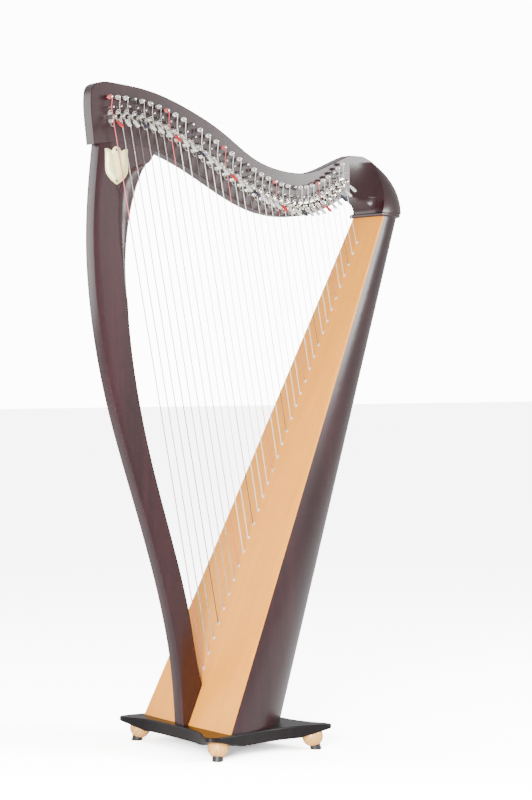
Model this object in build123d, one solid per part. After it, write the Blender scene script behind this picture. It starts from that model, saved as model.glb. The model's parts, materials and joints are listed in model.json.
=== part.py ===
from build123d import *
import os
from math import atan2, cos, degrees, pi, radians, sin, sqrt, tan

import numpy as np

# Lever harp with thirty-four strings. Millimetres, +Z up. The harp stands on Z = 0 with its pillar
# towards -X, and its levers and string band towards -Y. Every piece is first laid out from the
# foot of the soundboard's front face, which is X = 0 here, and is moved by ORIGIN_SHIFT at the end.
ORIGIN_SHIFT = -174.0        # puts the origin on the floor, in the middle of the whole harp

# Soundboard and soundbox
BASE_TOP = 54.0              # height of the base plate's upper face
BOARD_RISE = 1110.0          # height of the soundboard, from base plate to collar
BOARD_LEAN = 24.0            # degrees from upright, top away from the pillar
BOARD_WIDTH_FOOT = 336.0
BOARD_WIDTH_HEAD = 110.0
BOARD_THICK = 5.0
BELLY_END = 3.0              # how far the middle of the board stands proud at its ends
BELLY_MID = 7.0              # and how much more at half its height
BOX_DEPTH_FOOT = 212.0
BOX_DEPTH_HEAD = 64.0
BOX_WALL = 6.0
BLOCK_FOOT_HEIGHT = 62.0
BLOCK_HEAD_HEIGHT = 46.0
LINING = 11.0
BACK_RIB_HEIGHT = 14.0
BACK_RIB_DEPTH = 10.0
HOLE_PLACES = (0.15, 0.345, 0.53, 0.70)        # centres of the back holes, shares of the rise
HOLE_HEIGHTS = (138.0, 122.0, 104.0, 84.0)
HOLE_WIDTHS = (82.0, 70.0, 58.0, 44.0)
RIB_PLACES = (0.25, 0.44, 0.62)                # back ribs, between the holes
STRING_RIB_WIDTH = 26.0
STRING_RIB_THICK = 5.0

# Base plate and feet
PLATE_THICK = 26.0
# half of the outline, X and Y: front, front lobe, hollow side, back lobe, hollow back
PLATE_LINE = ((-28.0, 0.0), (-28.5, 60.0), (-33.0, 98.0), (-43.0, 127.0), (-55.0, 151.0),
              (-60.5, 166.0), (-58.0, 178.0), (-46.0, 185.0), (-24.0, 185.5), (45.0, 173.5),
              (100.0, 161.5), (150.0, 157.0), (200.0, 162.0), (238.0, 174.0), (252.0, 178.0),
              (262.0, 174.0), (263.5, 163.0), (254.0, 143.0), (239.0, 112.0), (229.0, 70.0),
              (225.5, 0.0))
PLATE_EDGE = 2.5             # rounding of the upper edge
FOOT_SPLAY = 15.5            # slope of the underside at each corner, and tilt of each foot
FOOT_FRONT = (-18.0, 154.0)  # X and Y of each front foot's axis at the underside
FOOT_BACK = (226.0, 152.0)
FOOT_HEAD = 33.5             # height at which a foot's axis meets the sloping underside
BALL_RADIUS = 22.5
BALL_CUT = 6.0               # ball centre below the sloping underside, along the foot's axis
TIP_RADIUS = 11.5
FOOT_SCREW_RADIUS = 2.5
FOOT_SCREW_LENGTH = 26.0

# Neck: a thick plate whose outline is given from the soundboard's head, X and Z
NECK_THICK = 34.0
NECK_NEAR = 5.0              # Y of the neck's string face
NECK_EDGE = 1.6
NECK_FRONT_LINE = ((-717.5, 127.0), (-722.0, 168.0), (-725.5, 208.0), (-725.0, 232.0), (-720.5, 248.0))
NECK_TOP_LINE = ((-705.0, 257.5), (-667.0, 259.0), (-582.0, 248.0), (-485.0, 216.5), (-385.0, 166.0),
                 (-305.0, 116.0), (-229.0, 94.5), (-160.0, 95.0), (-98.0, 117.5), (-48.0, 138.5))
NECK_UNDER_LINE = ((-48.0, 45.0), (-62.0, 43.0), (-86.0, 31.5), (-154.0, 3.0), (-229.0, -6.0),
                   (-304.0, 4.5), (-390.0, 40.0), (-474.0, 84.0), (-545.0, 114.0), (-608.0, 130.0),
                   (-671.0, 132.5))

# Shoulder block between the neck and the collar
SHOULDER_HALF = 56.0
SHOULDER_SETBACK = 0.5       # front of the block behind the soundboard's head
SHOULDER_BACK = 80.0         # depth of the block over the collar
SHOULDER_LEVELS = 12
ARCH_FLARE = 22.0            # how much the arch widens on each side towards the collar
COLLAR_THICK = 9.0
COLLAR_LAP = 6.0             # collar beyond the soundbox at the front and sides
COLLAR_BACK = 12.0

# Pillar
PILLAR_THICK = 34.0
PILLAR_NEAR_FOOT = -18.0     # Y of the pillar's string face at the base plate
# each point is a share of the pillar's height and a bow from the straight line between its ends
PILLAR_FRONT_FOOT = -18.0
PILLAR_FRONT_BOW = ((0.0, 0.0), (0.10, 9.5), (0.214, 4.0), (0.393, -27.5), (0.562, -59.0),
                    (0.723, -64.0), (0.837, -49.0), (1.0, 0.0))
PILLAR_BACK_FOOT = 60.0
PILLAR_BACK_BOW = ((0.0, 0.0), (0.076, -21.5), (0.182, -34.0), (0.324, -62.5), (0.475, -98.0),
                   (0.60, -115.0), (0.732, -115.5), (0.828, -99.0), (0.902, -71.5), (0.96, -34.0),
                   (1.0, 0.0))
PILLAR_EDGE = 1.5
BOLT_RADIUS = 4.0
BOLT_LENGTH = 52.0
BOLT_HEAD_RADIUS = 8.0
BOLT_HEAD_THICK = 5.0
BOLT_SEAT = 22.0             # of the foot block between the soundboard and the bolt's head
BOLT_HEIGHT = 44.0           # over the base plate
DOWEL_RADIUS = 6.0
DOWEL_LENGTH = 50.0

# Strings
STRINGS = 34
FIRST_EYELET = 127.0         # along the board from its foot
GAP_BASS = 34.4              # between eyelets at the bass end
GAP_TREBLE = 27.6
STRING_Y = -8.0              # Y of the strings at the neck
STRING_RADIUS_BASS = 0.85
STRING_RADIUS_TREBLE = 0.32
KNOT_RADIUS = 2.6
EYELET_RADIUS = 3.6
EYELET_BORE = 1.3
EYELET_HEAD = 1.2
EYELET_LIFT = 0.25           # under the head, for the curve of the board
# places of the C strings and of the last string, X and Z from the soundboard's head
OCTAVE_STRINGS = (1, 8, 15, 22, 29, 34)
TUNING_ROW = ((-684.5, 227.0), (-543.5, 207.5), (-397.5, 136.5), (-262.5, 69.0), (-146.5, 70.5),
              (-77.5, 117.0))
BRIDGE_ROW = ((-680.5, 206.0), (-537.5, 184.0), (-393.5, 108.0), (-258.5, 46.0), (-139.5, 50.0),
              (-73.5, 97.0))

# Pins
TUNING_RADIUS = 2.9
TUNING_NEAR = 13.0           # beyond the neck's string face
TUNING_FAR = 17.0            # square end beyond the far face
TUNING_SQUARE = 4.0
BRIDGE_RADIUS = 1.9
BRIDGE_OUT = 17.0
BRIDGE_IN = 16.0
BRIDGE_HEAD = 2.7
FIT = 0.03                   # radial clearance of a pin in its hole
AIR = 0.3                    # gap between pieces that pass close by

# Sharping levers, each in a frame with X across the string, -Y away from the neck, Z up the string
LEVER_DROP = 21.0            # along the string, from bridge pin to lever
LEVER_REST = 48.0            # degrees between the hanging handle and the string
PIVOT_OUT = 4.9              # pivot beyond the string
PIVOT_RADIUS = 1.2
HUB_RADIUS = 3.3
HUB_HALF = 3.5
EAR_THICK = 1.4
EAR_HALF = 5.0
BRACKET_THICK = 1.6
BRACKET_HALF = 13.0
ARM_WIDTH = 4.2
ARM_THICK = 2.2
ARM_LENGTH = 30.0
GRIP_START = 16.0
GRIP_LENGTH = 20.0
GRIP_WIDTH = 7.6
GRIP_THICK = 5.2
SCREW_RADIUS = 1.3
SCREW_HEAD = 2.3
SCREW_HEAD_THICK = 1.3
SCREW_LENGTH = 10.0

# Badge
BADGE_WIDTH = 56.0
BADGE_HEIGHT = 78.0
BADGE_THICK = 1.2
BADGE_DROP = 10.0            # below the neck
BADGE_PLACE = -664.0         # its middle, X from the soundboard's head
NAIL_RADIUS = 1.1
NAIL_LENGTH = 8.0

# Worked out from the sizes above
HEAD_Z = BASE_TOP + BOARD_RISE
HEAD_X = BOARD_RISE * tan(radians(BOARD_LEAN))
BOARD_LENGTH = BOARD_RISE / cos(radians(BOARD_LEAN))
UP_BOARD = Vector(sin(radians(BOARD_LEAN)), 0, cos(radians(BOARD_LEAN)))
OUT_OF_BOARD = Vector(-cos(radians(BOARD_LEAN)), 0, sin(radians(BOARD_LEAN)))
BOARD_SPREAD = BOARD_THICK / cos(radians(BOARD_LEAN))
NECK_FAR = NECK_NEAR + NECK_THICK
COLLAR_TOP = HEAD_Z + COLLAR_THICK
JOINT_X = HEAD_X + NECK_TOP_LINE[-1][0]
SHOULDER_TOP = HEAD_Z + NECK_TOP_LINE[-1][1]
SHOULDER_UNDER = HEAD_Z + NECK_UNDER_LINE[0][1]
SHOULDER_FRONT = HEAD_X - SHOULDER_SETBACK
PILLAR_HEAD_Z = HEAD_Z + NECK_UNDER_LINE[-1][1]
PILLAR_FRONT_HEAD = HEAD_X + NECK_FRONT_LINE[0][0] + 14.0
PILLAR_BACK_HEAD = HEAD_X + NECK_UNDER_LINE[-2][0] + 52.0


def from_head(point, y=0.0):
    """Point given from the soundboard's head, as a place in the layout."""
    return (HEAD_X + point[0], y, HEAD_Z + point[1])


def along_board(distance, proud=0.0, y=0.0):
    """Point at a distance up the board, standing proud of its flat front plane."""
    point = UP_BOARD * distance + OUT_OF_BOARD * proud
    return Vector(point.X, y, point.Z + BASE_TOP)


def belly(distance):
    """Height of the board's middle over its edges, at a distance up the board."""
    share = min(max(distance / BOARD_LENGTH, 0.0), 1.0)
    return BELLY_END + BELLY_MID * sin(pi * share)


def share_up(height):
    """Share of the soundbox's rise at a height."""
    return (height - BASE_TOP) / BOARD_RISE


def mix(low, high, share):
    return low + (high - low) * share


def box_front(height):
    """X of the soundboard's back face, where the soundbox begins."""
    return (height - BASE_TOP) * tan(radians(BOARD_LEAN)) + BOARD_SPREAD


def box_section(height, inset=0.0, forward=0.0):
    """Half-oval section of the soundbox at a height, made smaller by an inset."""
    half = mix(BOARD_WIDTH_FOOT, BOARD_WIDTH_HEAD, share_up(height)) / 2 - inset
    depth = mix(BOX_DEPTH_FOOT, BOX_DEPTH_HEAD, share_up(height)) - inset
    front = box_front(height)
    level = Plane.XY.offset(height)
    arc = EllipticalCenterArc((front, 0), depth, half, start_angle=-90, arc_size=180)
    edges = [arc]
    if forward > 0:
        edges += [Line((front, half), (front - forward, half))]
        edges += [Line((front - forward, half), (front - forward, -half))]
        edges += [Line((front - forward, -half), (front, -half))]
    else:
        edges += [Line((front, half), (front, -half))]
    return level * make_face(edges)


def box_solid(low, high, inset=0.0, forward=0.0):
    """Soundbox form between two heights."""
    return loft([box_section(low, inset, forward), box_section(high, inset, forward)], ruled=True)


def slab(low, high, reach=1200.0):
    """Wide flat block between two heights, for cutting."""
    return Pos(0, 0, (low + high) / 2) * Box(2 * reach, 2 * reach, high - low)


def board_section(distance, back, front=0.0):
    """Section of the soundboard square to its length: bowed in front, flat behind."""
    place = along_board(distance)
    share = share_up(place.Z)
    half = mix(BOARD_WIDTH_FOOT, BOARD_WIDTH_HEAD, share) / 2
    plane = Plane(origin=place, x_dir=(0, 1, 0), z_dir=UP_BOARD)
    out = 1.0 if plane.y_dir.dot(OUT_OF_BOARD) > 0 else -1.0
    crown = (belly(distance) + front) * out
    edges = [
        ThreePointArc((-half, front * out), (0, crown), (half, front * out)),
        Line((half, front * out), (half, -back * out)),
        Line((half, -back * out), (-half, -back * out)),
        Line((-half, -back * out), (-half, front * out)),
    ]
    return plane * make_face(edges)


def board_solid(back):
    """Soundboard form, cut level at the base plate and at the collar."""
    spare = 40.0
    stations = [-spare + (BOARD_LENGTH + 2 * spare) * k / 6 for k in range(7)]
    blank = loft([board_section(distance, back) for distance in stations])
    return blank & slab(BASE_TOP, HEAD_Z)


def eyelet_distance(number):
    """Distance of a string's eyelet up the board: the gaps shrink evenly to the treble."""
    steps = number - 1
    shrink = (GAP_BASS - GAP_TREBLE) / (2 * (STRINGS - 2))
    return FIRST_EYELET + GAP_BASS * steps - shrink * steps * (steps - 1)


def row_place(row, number):
    """Place of a pin in its row: a smooth curve through the places of the C strings."""
    degree = len(OCTAVE_STRINGS) - 1
    place = []
    for axis in (0, 1):
        values = [point[axis] for point in row]
        place.append(float(np.polyval(np.polyfit(OCTAVE_STRINGS, values, degree), number)))
    return from_head(place)


def string_radius(number):
    share = (number - 1) / (STRINGS - 1)
    return STRING_RADIUS_BASS * (STRING_RADIUS_TREBLE / STRING_RADIUS_BASS) ** share


def string_colour(number):
    """C strings are red and F strings black, counted from the lowest string, a C."""
    step = (number - 1) % 7
    return {0: "red", 3: "black"}.get(step, "natural")


def across_y(radius, near, far, x, z):
    """Round bar along Y between two Y values."""
    return Pos(x, (near + far) / 2, z) * Rot(90, 0, 0) * Cylinder(radius, far - near)


def string_bends(number):
    """Corners of a string's route: knot, eyelet, bridge pin and tuning pin."""
    distance = eyelet_distance(number)
    proud = belly(distance)
    knot = along_board(distance, -BOARD_THICK - STRING_RIB_THICK - KNOT_RADIUS)
    mouth = along_board(distance, proud + EYELET_HEAD + 2.0)
    radius = string_radius(number)
    bridge = row_place(BRIDGE_ROW, number)
    tuning = row_place(TUNING_ROW, number)
    turn = Vector(bridge[0] - BRIDGE_RADIUS - radius - AIR, STRING_Y, bridge[2])
    end = Vector(tuning[0] + TUNING_RADIUS + radius + FIT, STRING_Y, tuning[2])
    return knot, mouth, turn, end


def lever_place(number):
    """Where a lever's frame sits on its string, and how far the string leans there, in degrees."""
    _, mouth, turn, _ = string_bends(number)
    run = mouth - turn
    place = turn + run.normalized() * LEVER_DROP
    return place, degrees(atan2(run.X, -run.Z))


def in_lever_frame(number):
    place, lean = lever_place(number)
    return Pos(place) * Rot(0, -lean, 0)


def string_solid(number):
    """One string, whole along its route, with the knot that holds it behind the soundboard."""
    knot, mouth, turn, end = string_bends(number)
    radius = string_radius(number)
    route = FilletPolyline(knot, mouth, turn, end, radius=[2.2, BRIDGE_RADIUS + radius])
    start = Plane(origin=knot, z_dir=(mouth - knot).normalized())
    return sweep(start * Circle(radius), path=route)


def string_coil(number):
    """Turns of the string round its tuning pin, as one sleeve."""
    radius = string_radius(number)
    x, _, z = row_place(TUNING_ROW, number)
    near = STRING_Y + radius + FIT
    far = near + 7 * radius
    ring = across_y(TUNING_RADIUS + FIT + 2 * radius, near, far, x, z)
    return ring - across_y(TUNING_RADIUS + FIT, near - 1, far + 1, x, z)


def string_knot(number):
    """Knot behind the soundboard, with the string through it."""
    distance = eyelet_distance(number)
    centre = along_board(distance, -BOARD_THICK - STRING_RIB_THICK - KNOT_RADIUS)
    lower = Plane(origin=centre, z_dir=OUT_OF_BOARD)
    ball = Pos(centre) * Sphere(KNOT_RADIUS)
    bore = lower * Pos(0, 0, KNOT_RADIUS) * Cylinder(string_radius(number) + FIT, 2 * KNOT_RADIUS)
    return ball - bore


def make_strings():
    groups = {"red": [], "black": [], "natural": []}
    for number in range(1, STRINGS + 1):
        group = groups[string_colour(number)]
        group += [string_solid(number), string_coil(number), string_knot(number)]
    return groups


def make_eyelets():
    """White grommets in the soundboard, one for each string."""
    eyelets = []
    for number in range(1, STRINGS + 1):
        distance = eyelet_distance(number)
        proud = belly(distance)
        face = Plane(origin=along_board(distance, proud), z_dir=OUT_OF_BOARD)
        head = face * Pos(0, 0, EYELET_HEAD / 2 + EYELET_LIFT) * Cylinder(EYELET_RADIUS, EYELET_HEAD)
        deep = proud + BOARD_THICK
        barrel = face * Pos(0, 0, EYELET_LIFT - deep / 2) * Cylinder(EYELET_RADIUS - 1.4, deep)
        bore = face * Pos(0, 0, -deep / 2) * Cylinder(EYELET_BORE, 3 * deep)
        eyelets.append(head + barrel - bore)
    return eyelets


def eyelet_holes(radius, depth):
    """Cutters along the board's normal, one through each eyelet."""
    holes = []
    for number in range(1, STRINGS + 1):
        face = Plane(origin=along_board(eyelet_distance(number)), z_dir=OUT_OF_BOARD)
        holes.append(face * Cylinder(radius, 2 * depth))
    return holes


def make_soundboard():
    return board_solid(BOARD_THICK) - eyelet_holes(EYELET_RADIUS - 1.4 + FIT, 30)


def make_string_rib():
    """Strip behind the soundboard that takes the strings' pull, between the two end blocks."""
    lean = cos(radians(BOARD_LEAN))
    low = (BLOCK_FOOT_HEIGHT + 6) / lean
    high = (BOARD_RISE - BLOCK_HEAD_HEIGHT - 6) / lean
    middle = along_board((low + high) / 2, -BOARD_THICK - STRING_RIB_THICK / 2)
    frame = Plane(origin=middle, x_dir=(0, 1, 0), z_dir=OUT_OF_BOARD)
    strip = frame * Box(STRING_RIB_WIDTH, high - low, STRING_RIB_THICK)
    return strip - eyelet_holes(EYELET_BORE, 30)


def make_soundbox_back():
    """Bent rear shell of the soundbox, open in front, with holes for reaching the strings."""
    shell = box_solid(BASE_TOP, HEAD_Z) - box_solid(BASE_TOP, HEAD_Z, BOX_WALL, 30)
    for place, height, width in zip(HOLE_PLACES, HOLE_HEIGHTS, HOLE_WIDTHS):
        level = BASE_TOP + BOARD_RISE * place
        window = Plane.YZ * SlotOverall(height, width, rotation=90)
        reach = extrude(window, amount=600)
        shell -= Pos(box_front(level) + 20, 0, level) * reach
    return shell


def make_linings():
    """Two strips inside the soundbox that widen the glue line under the soundboard's edges."""
    low = BASE_TOP + BLOCK_FOOT_HEIGHT
    high = HEAD_Z - BLOCK_HEAD_HEIGHT
    strips = []
    for side in (-1, 1):
        sections = []
        for height in (low, high):
            half = mix(BOARD_WIDTH_FOOT, BOARD_WIDTH_HEAD, share_up(height)) / 2 - BOX_WALL
            front = box_front(height)
            outer = side * (half + 4)
            inner = side * (half - LINING)
            corners = ((front, inner), (front + LINING, inner), (front + LINING, outer), (front, outer))
            sections.append(Plane.XY.offset(height) * make_face(Polyline(*corners, close=True)))
        strips.append(loft(sections, ruled=True) & box_solid(low, high, BOX_WALL))
    return strips


def make_back_ribs(linings):
    """Curved ribs that stiffen the bent back between its holes."""
    ribs = []
    for place in RIB_PLACES:
        low = BASE_TOP + BOARD_RISE * place
        high = low + BACK_RIB_HEIGHT
        outer = box_solid(low, high, BOX_WALL)
        inner = box_solid(low - 1, high + 1, BOX_WALL + BACK_RIB_DEPTH, 30)
        rib = outer - inner
        for strip in linings:
            rib -= strip
        ribs.append(rib)
    return ribs


def make_end_blocks():
    """Solid blocks that close the soundbox at its foot and its head."""
    foot = box_solid(BASE_TOP, BASE_TOP + BLOCK_FOOT_HEIGHT, BOX_WALL)
    head = box_solid(HEAD_Z - BLOCK_HEAD_HEIGHT, HEAD_Z, BOX_WALL)
    return foot, head


def foot_heads():
    """Where the four feet's axes meet the plate's sloping corners, with each outward direction."""
    heads = []
    for (x, y), ahead in ((FOOT_FRONT, -1), (FOOT_BACK, 1)):
        for side in (-1, 1):
            point = Vector(x, side * y, FOOT_HEAD)
            outward = Vector(ahead, side, 0).normalized()
            heads.append((point, outward))
    return heads


def foot_axis(outward):
    """Direction of a foot, down and outward."""
    slope = radians(FOOT_SPLAY)
    return outward * sin(slope) + Vector(0, 0, -cos(slope))


def make_base_plate():
    """Plate with hollow sides, a lobe over each foot, and an underside that rises under each lobe."""
    half = Spline(*PLATE_LINE, tangents=((0, 1), (0, -1)))
    other = Spline(*[(x, -y) for x, y in reversed(PLATE_LINE)], tangents=((0, -1), (0, 1)))
    outline = make_face([half, other])
    plate = Pos(0, 0, BASE_TOP - PLATE_THICK) * extrude(outline, amount=PLATE_THICK)
    plate = fillet(plate.faces().sort_by(Axis.Z)[-1].edges(), PLATE_EDGE)
    for head, outward in foot_heads():
        slope = Plane(origin=head, x_dir=outward.cross(Vector(0, 0, 1)), z_dir=foot_axis(outward))
        plate -= slope * Pos(0, 0, 50) * Box(400, 400, 100)
    return plate


def make_feet():
    """Ball feet and their rubber tips. Each tip is cut level where it meets the floor."""
    balls = []
    tips = []
    for head, outward in foot_heads():
        axis = foot_axis(outward)
        centre = head + axis * BALL_CUT
        slope = Plane(origin=head, z_dir=axis)
        below = slope * Pos(0, 0, 50) * Box(100, 100, 100)
        ball = (Pos(centre) * Sphere(BALL_RADIUS)) & below
        tip = slope * Pos(0, 0, BALL_CUT + BALL_RADIUS) * Cylinder(TIP_RADIUS, 2 * BALL_RADIUS)
        tip = (tip - Pos(centre) * Sphere(BALL_RADIUS)) & slab(0, FOOT_HEAD)
        tip = tip.solids().sort_by(Axis.Z)[0]
        screw = slope * Cylinder(FOOT_SCREW_RADIUS + FIT, 2 * FOOT_SCREW_LENGTH)
        balls.append(ball - screw)
        tips.append(tip)
    return balls, tips


def make_foot_screws():
    """Hanger screws that hold the balls to the plate."""
    screws = []
    for head, outward in foot_heads():
        slope = Plane(origin=head, z_dir=foot_axis(outward))
        screws.append(slope * Cylinder(FOOT_SCREW_RADIUS, FOOT_SCREW_LENGTH * 0.8))
    return screws


def make_collar():
    """Round-edged collar between the soundbox and the shoulder block."""
    half = BOARD_WIDTH_HEAD / 2 + COLLAR_LAP
    front = HEAD_X - COLLAR_LAP
    back = HEAD_X + BOARD_SPREAD + BOX_DEPTH_HEAD + COLLAR_BACK
    arc = EllipticalCenterArc((front, 0), back - front, half, start_angle=-90, arc_size=180)
    face = make_face([arc, Line((front, half), (front, -half))])
    plate = Pos(0, 0, HEAD_Z) * extrude(face, amount=COLLAR_THICK)
    return fillet(plate.edges().filter_by(Axis.Z, reverse=True), COLLAR_THICK * 0.42)


def shoulder_section(height):
    """Level section of the shoulder block.

    In front, a straight line across the arch or the neck joint. On each side a hollow sweeps from
    there to a ridge, and behind the ridges the back is half an oval.
    """
    arch = min(max((height - COLLAR_TOP) / (SHOULDER_UNDER - COLLAR_TOP), 0.0), 1.0)
    foot = SHOULDER_FRONT
    front = JOINT_X + (foot - JOINT_X) * sqrt(1 - arch ** 2)
    flare = ARCH_FLARE * (front - JOINT_X) / (foot - JOINT_X)
    near = NECK_NEAR - flare
    far = NECK_FAR + flare
    ridge_top = SHOULDER_TOP - 13.0
    rise = min((height - COLLAR_TOP) / (ridge_top - COLLAR_TOP), 1.0)
    ridge_near = mix(-SHOULDER_HALF, NECK_NEAR, rise ** 1.4)
    ridge_far = mix(SHOULDER_HALF, NECK_FAR, rise ** 1.4)
    far = min(far, max(ridge_far - 2.0, NECK_FAR))
    close = (height - COLLAR_TOP) / (SHOULDER_TOP + 1.0 - COLLAR_TOP)
    ridge = foot + 17.0 * rise + 10.0 * sin(pi * rise)
    back = foot - 14.0 + (SHOULDER_BACK + 20.0) * (1 - close ** 2.6) ** 0.7
    ridge = min(ridge, back - 6.0)
    middle = (ridge_near + ridge_far) / 2
    hollow_near = (mix(front, ridge, 0.62), mix(near, ridge_near, 0.36))
    hollow_far = (mix(front, ridge, 0.62), mix(far, ridge_far, 0.36))
    side = cos(pi / 4)
    edges = [
        Line((front, far), (front, near)),
        Spline((front, near), hollow_near, (ridge, ridge_near)),
        Spline((ridge, ridge_near),
               (mix(ridge, back, side), mix(middle, ridge_near, side)),
               (back, middle),
               (mix(ridge, back, side), mix(middle, ridge_far, side)),
               (ridge, ridge_far), tangents=((1, 0), (-1, 0))),
        Spline((ridge, ridge_far), hollow_far, (front, far)),
    ]
    return Plane.XY.offset(height) * make_face(edges)


def make_shoulder():
    """Carved block that carries the neck's end down to the collar."""
    levels = [COLLAR_TOP + (SHOULDER_TOP - COLLAR_TOP) * k / SHOULDER_LEVELS
              for k in range(SHOULDER_LEVELS + 1)]
    levels = sorted(levels + [SHOULDER_UNDER, SHOULDER_UNDER - 3.0])
    return loft([shoulder_section(height) for height in levels], ruled=True)


def neck_outline(y):
    """Edges of the neck's side view: its front, nose and top in one curve, its end, its underside."""
    crown = [from_head(point, y) for point in NECK_FRONT_LINE + NECK_TOP_LINE]
    under = [from_head(point, y) for point in NECK_UNDER_LINE] + [crown[0]]
    return [Spline(*crown), Line(crown[-1], under[0]), Spline(*under)]


def neck_blank(near, thick):
    return extrude(make_face(neck_outline(near)), amount=thick, dir=(0, 1, 0))


def lever_screw_places():
    return (-BRACKET_HALF + 3.2, BRACKET_HALF - 3.2)


def neck_face_in_lever(number):
    """Distance of the neck's string face behind the string, in a lever's frame."""
    place, _ = lever_place(number)
    return NECK_NEAR - place.Y


def make_neck():
    """Neck with its holes for pins and screws."""
    blank = neck_blank(NECK_NEAR, NECK_THICK)
    long_edges = blank.edges().filter_by(lambda e: e.length > 200)
    blank = fillet(long_edges, NECK_EDGE)
    cutters = []
    for number in range(1, STRINGS + 1):
        x, _, z = row_place(TUNING_ROW, number)
        cutters.append(across_y(TUNING_RADIUS + FIT, NECK_NEAR - 5, NECK_FAR + 5, x, z))
        x, _, z = row_place(BRIDGE_ROW, number)
        cutters.append(across_y(BRIDGE_RADIUS + FIT, NECK_NEAR - 5, NECK_NEAR + BRIDGE_IN + FIT, x, z))
        face = neck_face_in_lever(number)
        for height in lever_screw_places():
            hole = across_y(SCREW_RADIUS + FIT, face - 5, face + SCREW_LENGTH, 0, height)
            cutters.append(in_lever_frame(number) * hole)
    cutters += [dowel_solid(place, FIT) for place in dowel_places()]
    return blank - cutters


def pillar_curve(foot, head, bows, y_of):
    """Edge of the pillar: a straight line from foot to head, bowed by the listed amounts."""
    points = []
    for share, bow in bows:
        height = mix(BASE_TOP, PILLAR_HEAD_Z + 12.0, share)
        points.append((mix(foot, head, share) + bow, y_of(height), height))
    return points


def pillar_near(height):
    """Y of the pillar's string face: it leans over to stand flush with the neck."""
    return mix(PILLAR_NEAR_FOOT, NECK_NEAR, (height - BASE_TOP) / (PILLAR_HEAD_Z - BASE_TOP))


def make_pillar(board_form):
    """Bowed pillar between base plate, soundboard and neck."""
    front = pillar_curve(PILLAR_FRONT_FOOT, PILLAR_FRONT_HEAD, PILLAR_FRONT_BOW, pillar_near)
    back = pillar_curve(PILLAR_BACK_FOOT, PILLAR_BACK_HEAD, PILLAR_BACK_BOW, pillar_near)
    edges = [
        Spline(*front),
        Line(front[-1], back[-1]),
        Spline(*back[::-1]),
        Line(back[0], front[0]),
    ]
    pillar = extrude(make_face(edges), amount=PILLAR_THICK, dir=(0, 1, 0))
    long_edges = pillar.edges().filter_by(lambda e: e.length > 500)
    pillar = fillet(long_edges, PILLAR_EDGE)
    pillar -= neck_blank(-200, 400)
    pillar -= board_form
    pillar = pillar.solids().sort_by(SortBy.VOLUME)[-1]
    pillar -= bolt_solid(FIT)
    for place in dowel_places()[:2]:
        pillar -= dowel_solid(place, FIT)
    return pillar


def bolt_solid(spare=0.0, reach=0.0):
    """Bolt through the foot block and the board into the pillar, its head sunk in the block.

    As a cutter it has spare clearance, and its head reaches on into the soundbox.
    """
    height = BASE_TOP + BOLT_HEIGHT
    seat = box_front(height) + BOLT_SEAT
    turn = Rot(0, 90, 0)
    shank = Pos(seat - BOLT_LENGTH / 2, 0, height) * turn * Cylinder(BOLT_RADIUS + spare, BOLT_LENGTH)
    thick = BOLT_HEAD_THICK + reach
    head = Pos(seat + thick / 2, 0, height) * turn * Cylinder(BOLT_HEAD_RADIUS + spare, thick)
    return shank + head


def dowel_places():
    """Centre and direction of each hidden dowel: two in the pillar's head, two in the neck's end."""
    head = PILLAR_HEAD_Z - 1.0
    middle = NECK_NEAR + NECK_THICK / 2
    across = (PILLAR_FRONT_HEAD + 40, PILLAR_FRONT_HEAD + 88)
    upright = [(Vector(x, middle, head), Vector(0, 0, 1)) for x in across]
    rise = SHOULDER_TOP - SHOULDER_UNDER
    levels = (SHOULDER_UNDER + rise * 0.3, SHOULDER_UNDER + rise * 0.7)
    level = [(Vector(JOINT_X, middle, z), Vector(1, 0, 0)) for z in levels]
    return upright + level


def dowel_solid(place, spare=0.0):
    centre, direction = place
    return Plane(origin=centre, z_dir=direction) * Cylinder(DOWEL_RADIUS + spare, DOWEL_LENGTH + 2 * spare)


def make_tuning_pins():
    """Pins that run right through the neck, with a square end for the tuning key on the far side."""
    pins = []
    for number in range(1, STRINGS + 1):
        x, _, z = row_place(TUNING_ROW, number)
        shaft = across_y(TUNING_RADIUS, NECK_NEAR - TUNING_NEAR - 5, NECK_FAR + 5, x, z)
        square = Pos(x, NECK_FAR + 5 + (TUNING_FAR - 5) / 2, z) * Box(
            TUNING_SQUARE, TUNING_FAR - 5, TUNING_SQUARE)
        pins.append(shaft + square)
    return pins


def make_bridge_pins():
    """Headed pins that fix each string's sounding length."""
    pins = []
    for number in range(1, STRINGS + 1):
        x, _, z = row_place(BRIDGE_ROW, number)
        near = NECK_NEAR - BRIDGE_OUT
        shaft = across_y(BRIDGE_RADIUS, near, NECK_NEAR + BRIDGE_IN, x, z)
        pins.append(shaft + Pos(x, near, z) * Sphere(BRIDGE_HEAD))
    return pins


def make_bracket(number):
    """Folded bracket: a plate screwed to the neck with an ear each side of the string."""
    face = neck_face_in_lever(number)
    plate_depth = face - BRACKET_THICK / 2
    inner = HUB_HALF + AIR
    width = 2 * (inner + EAR_THICK)
    plate = Pos(0, plate_depth, 0) * Box(width, BRACKET_THICK, 2 * BRACKET_HALF)
    reach = face + PIVOT_OUT + 2.6
    bracket = plate
    for side in (-1, 1):
        ear = Pos(side * (inner + EAR_THICK / 2), face - reach / 2, 0) * Box(
            EAR_THICK, reach, 2 * EAR_HALF)
        bracket += ear
    bracket -= Pos(0, -PIVOT_OUT, 0) * Rot(0, 90, 0) * Cylinder(PIVOT_RADIUS + FIT, 2 * width)
    for height in lever_screw_places():
        bracket -= across_y(SCREW_RADIUS + FIT, face - 5, face + 5, 0, height)
    return bracket


def make_bracket_screws(number):
    face = neck_face_in_lever(number)
    screws = []
    for height in lever_screw_places():
        head = across_y(SCREW_HEAD, face - BRACKET_THICK - SCREW_HEAD_THICK, face - BRACKET_THICK, 0, height)
        shank = across_y(SCREW_RADIUS, face - BRACKET_THICK, face - BRACKET_THICK + SCREW_LENGTH, 0, height)
        screws.append(head + shank)
    return screws


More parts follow.
